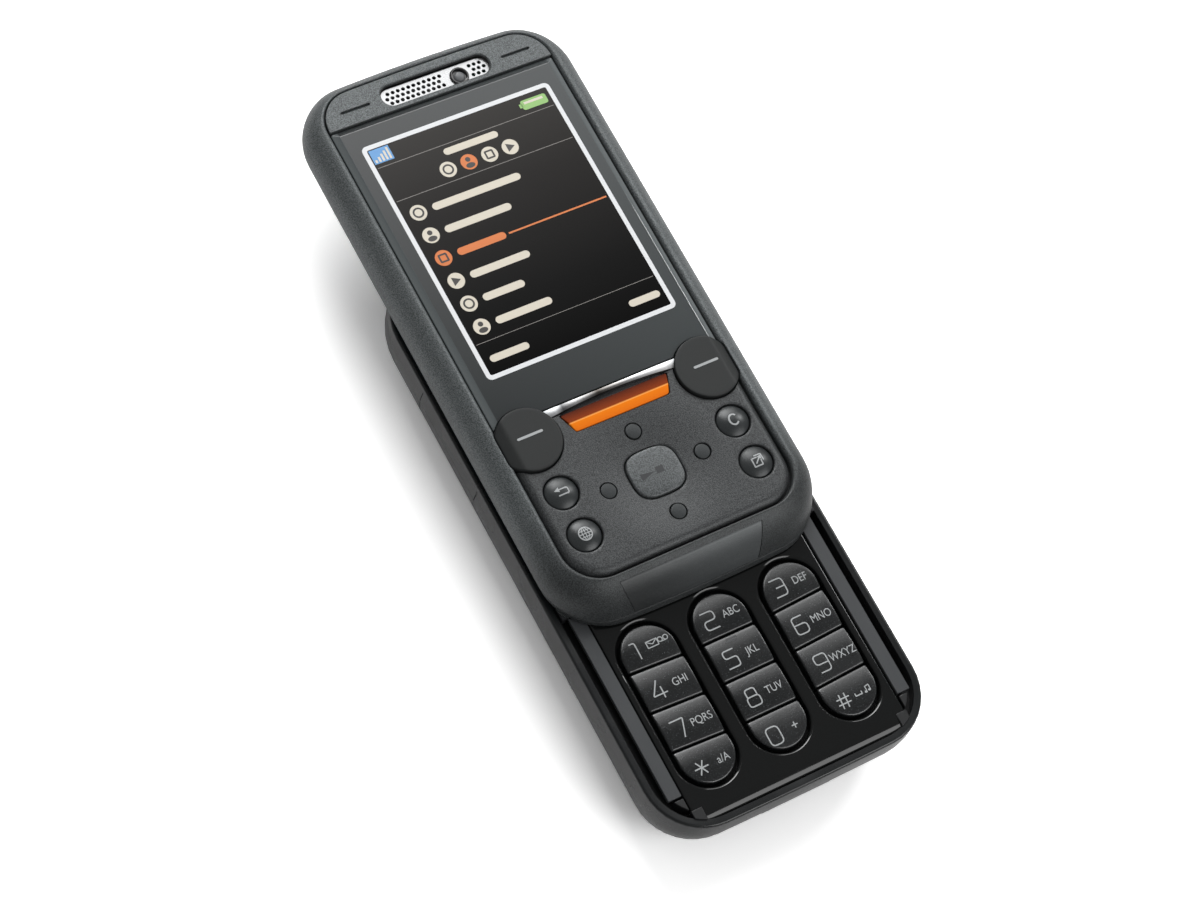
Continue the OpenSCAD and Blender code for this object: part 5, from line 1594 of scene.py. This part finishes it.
add_front_shell()
add_rear_cover()
add_end_inlay()
add_nav_plate()
add_glass()
add_top_cap()
add_lens()
add_face_keys()
add_face_legends()
add_screen()
add_chrome_strip()
add_deck()
add_number_keys()
add_number_legends()
add_housing()
add_cover_and_door()
add_side_keys()
add_rear_lens()
add_screws()
add_cad_pieces()

# ------------------------------------------------------------------------ studio

# Floor in metres and its tone, with what the camera sees on top of it
FLOOR_HALF = 1.2
FLOOR_TONE, FLOOR_EXTRA = 0.8, 0.75

# Room as (tone, strength): what lights the phone, what it mirrors and what the camera sees
ROOM_LIGHT, ROOM_MIRRORED, ROOM_SEEN = (1, 0.5), (0.8, 0.22), (0.8, 1)


def bare_tree(owner):
    """Empty node tree of a material or a world."""
    owner.use_nodes = True
    owner.node_tree.nodes.clear()
    return owner.node_tree


def plane_mesh(name, half_x, half_y, material):
    """A plain rectangle about its middle."""
    mesh = bpy.data.meshes.new(name)
    mesh.from_pydata([(-half_x, -half_y, 0), (half_x, -half_y, 0), (half_x, half_y, 0),
                      (-half_x, half_y, 0)], [], [(0, 1, 2, 3)])
    mesh.materials.append(material)
    return mesh


def either(tree, ray, other, seen):
    """One shader for rays of a kind, and another for all other rays."""
    path = add_node(tree, "LightPath")
    choice = add_node(tree, "MixShader", {"Fac": path.outputs[ray], 1: other, 2: seen})
    return choice.outputs["Shader"]


def add_floor():
    """Level floor that the phone lies on. The camera sees it brighter than it is, so that it
    turns white close to the phone and the phone's shadow stays on it."""
    material = bpy.data.materials.new("floor")
    tree = bare_tree(material)
    matt, more = [add_node(tree, "BsdfDiffuse", {"Color": (tone, tone, tone, 1)}).outputs["BSDF"]
                  for tone in (FLOOR_TONE, FLOOR_EXTRA)]
    both = add_node(tree, "AddShader", {0: matt, 1: more}).outputs["Shader"]
    add_node(tree, "OutputMaterial", {"Surface": either(tree, "Is Camera Ray", matt, both)})
    floor = new_object("floor", plane_mesh("floor", FLOOR_HALF, FLOOR_HALF, material))


def add_lamp(name, place, size, power):
    """A square soft light of a size in metres that faces the phone."""
    data = bpy.data.lights.new(name, "AREA")
    data.shape = "SQUARE"
    data.size = size
    data.energy = power
    lamp = new_object(name, data)
    lamp.location = place
    lamp.rotation_euler = (-Vector(place)).to_track_quat("-Z", "Y").to_euler()


def add_panel(name, place, width, height, rise, run):
    """A large soft panel that faces the phone. Its glow is the product of two ramps in metres
    from its middle, each (start, end, weak, strong): rise towards the phone's top end and run
    towards its right side."""
    material = bpy.data.materials.new(name)
    tree = bare_tree(material)
    ramps = [add_span(tree, axis, *ramp).outputs["Result"]
             for axis, ramp in (("Y", rise), ("X", run))]
    both = add_node(tree, "Math", {0: ramps[0], 1: ramps[1]})
    both.operation = "MULTIPLY"
    glow = add_node(tree, "Emission", {"Strength": both.outputs["Value"]})
    add_node(tree, "OutputMaterial", {"Surface": glow.outputs["Emission"]})
    panel = new_object(name, plane_mesh(name, width / 2, height / 2, material))
    facing = -Vector(place).normalized()
    across = Vector((1, 0, 0))
    across = (across - facing * across.dot(facing)).normalized()
    up = facing.cross(across)
    if up.y < 0:
        across, up = -across, -up
    turn = Matrix((across, up, facing)).transposed().to_4x4()
    panel.matrix_world = Matrix.Translation(place) @ turn


def add_world():
    """A pale room: the camera sees a pale grey, the phone is lit by a soft grey from all sides,
    and its shiny parts mirror a darker grey."""
    world = bpy.data.worlds.new("room")
    bpy.context.scene.world = world
    tree = bare_tree(world)
    room, dim, pale = [
        add_node(tree, "Background", {"Color": (tone, tone, tone, 1), "Strength": strength})
        .outputs["Background"] for tone, strength in (ROOM_LIGHT, ROOM_MIRRORED, ROOM_SEEN)]
    lit = either(tree, "Is Glossy Ray", room, dim)
    add_node(tree, "OutputWorld", {"Surface": either(tree, "Is Camera Ray", lit, pale)})


add_floor()
add_world()
add_panel("soft panel", (0.42, 0.78, 0.88), 1.1, 1.0, (-0.5, 0.3, 0, 10), (-0.2, 0.1, 0.4, 1))
add_panel("low panel", (0.48, -0.86, 0.86), 0.9, 0.7, (-0.4, 0.4, 3.6, 3.6), (-0.4, 0.4, 1, 1))
add_lamp("rim light", (0.9, 0.3, 0.75), 0.25, 3)
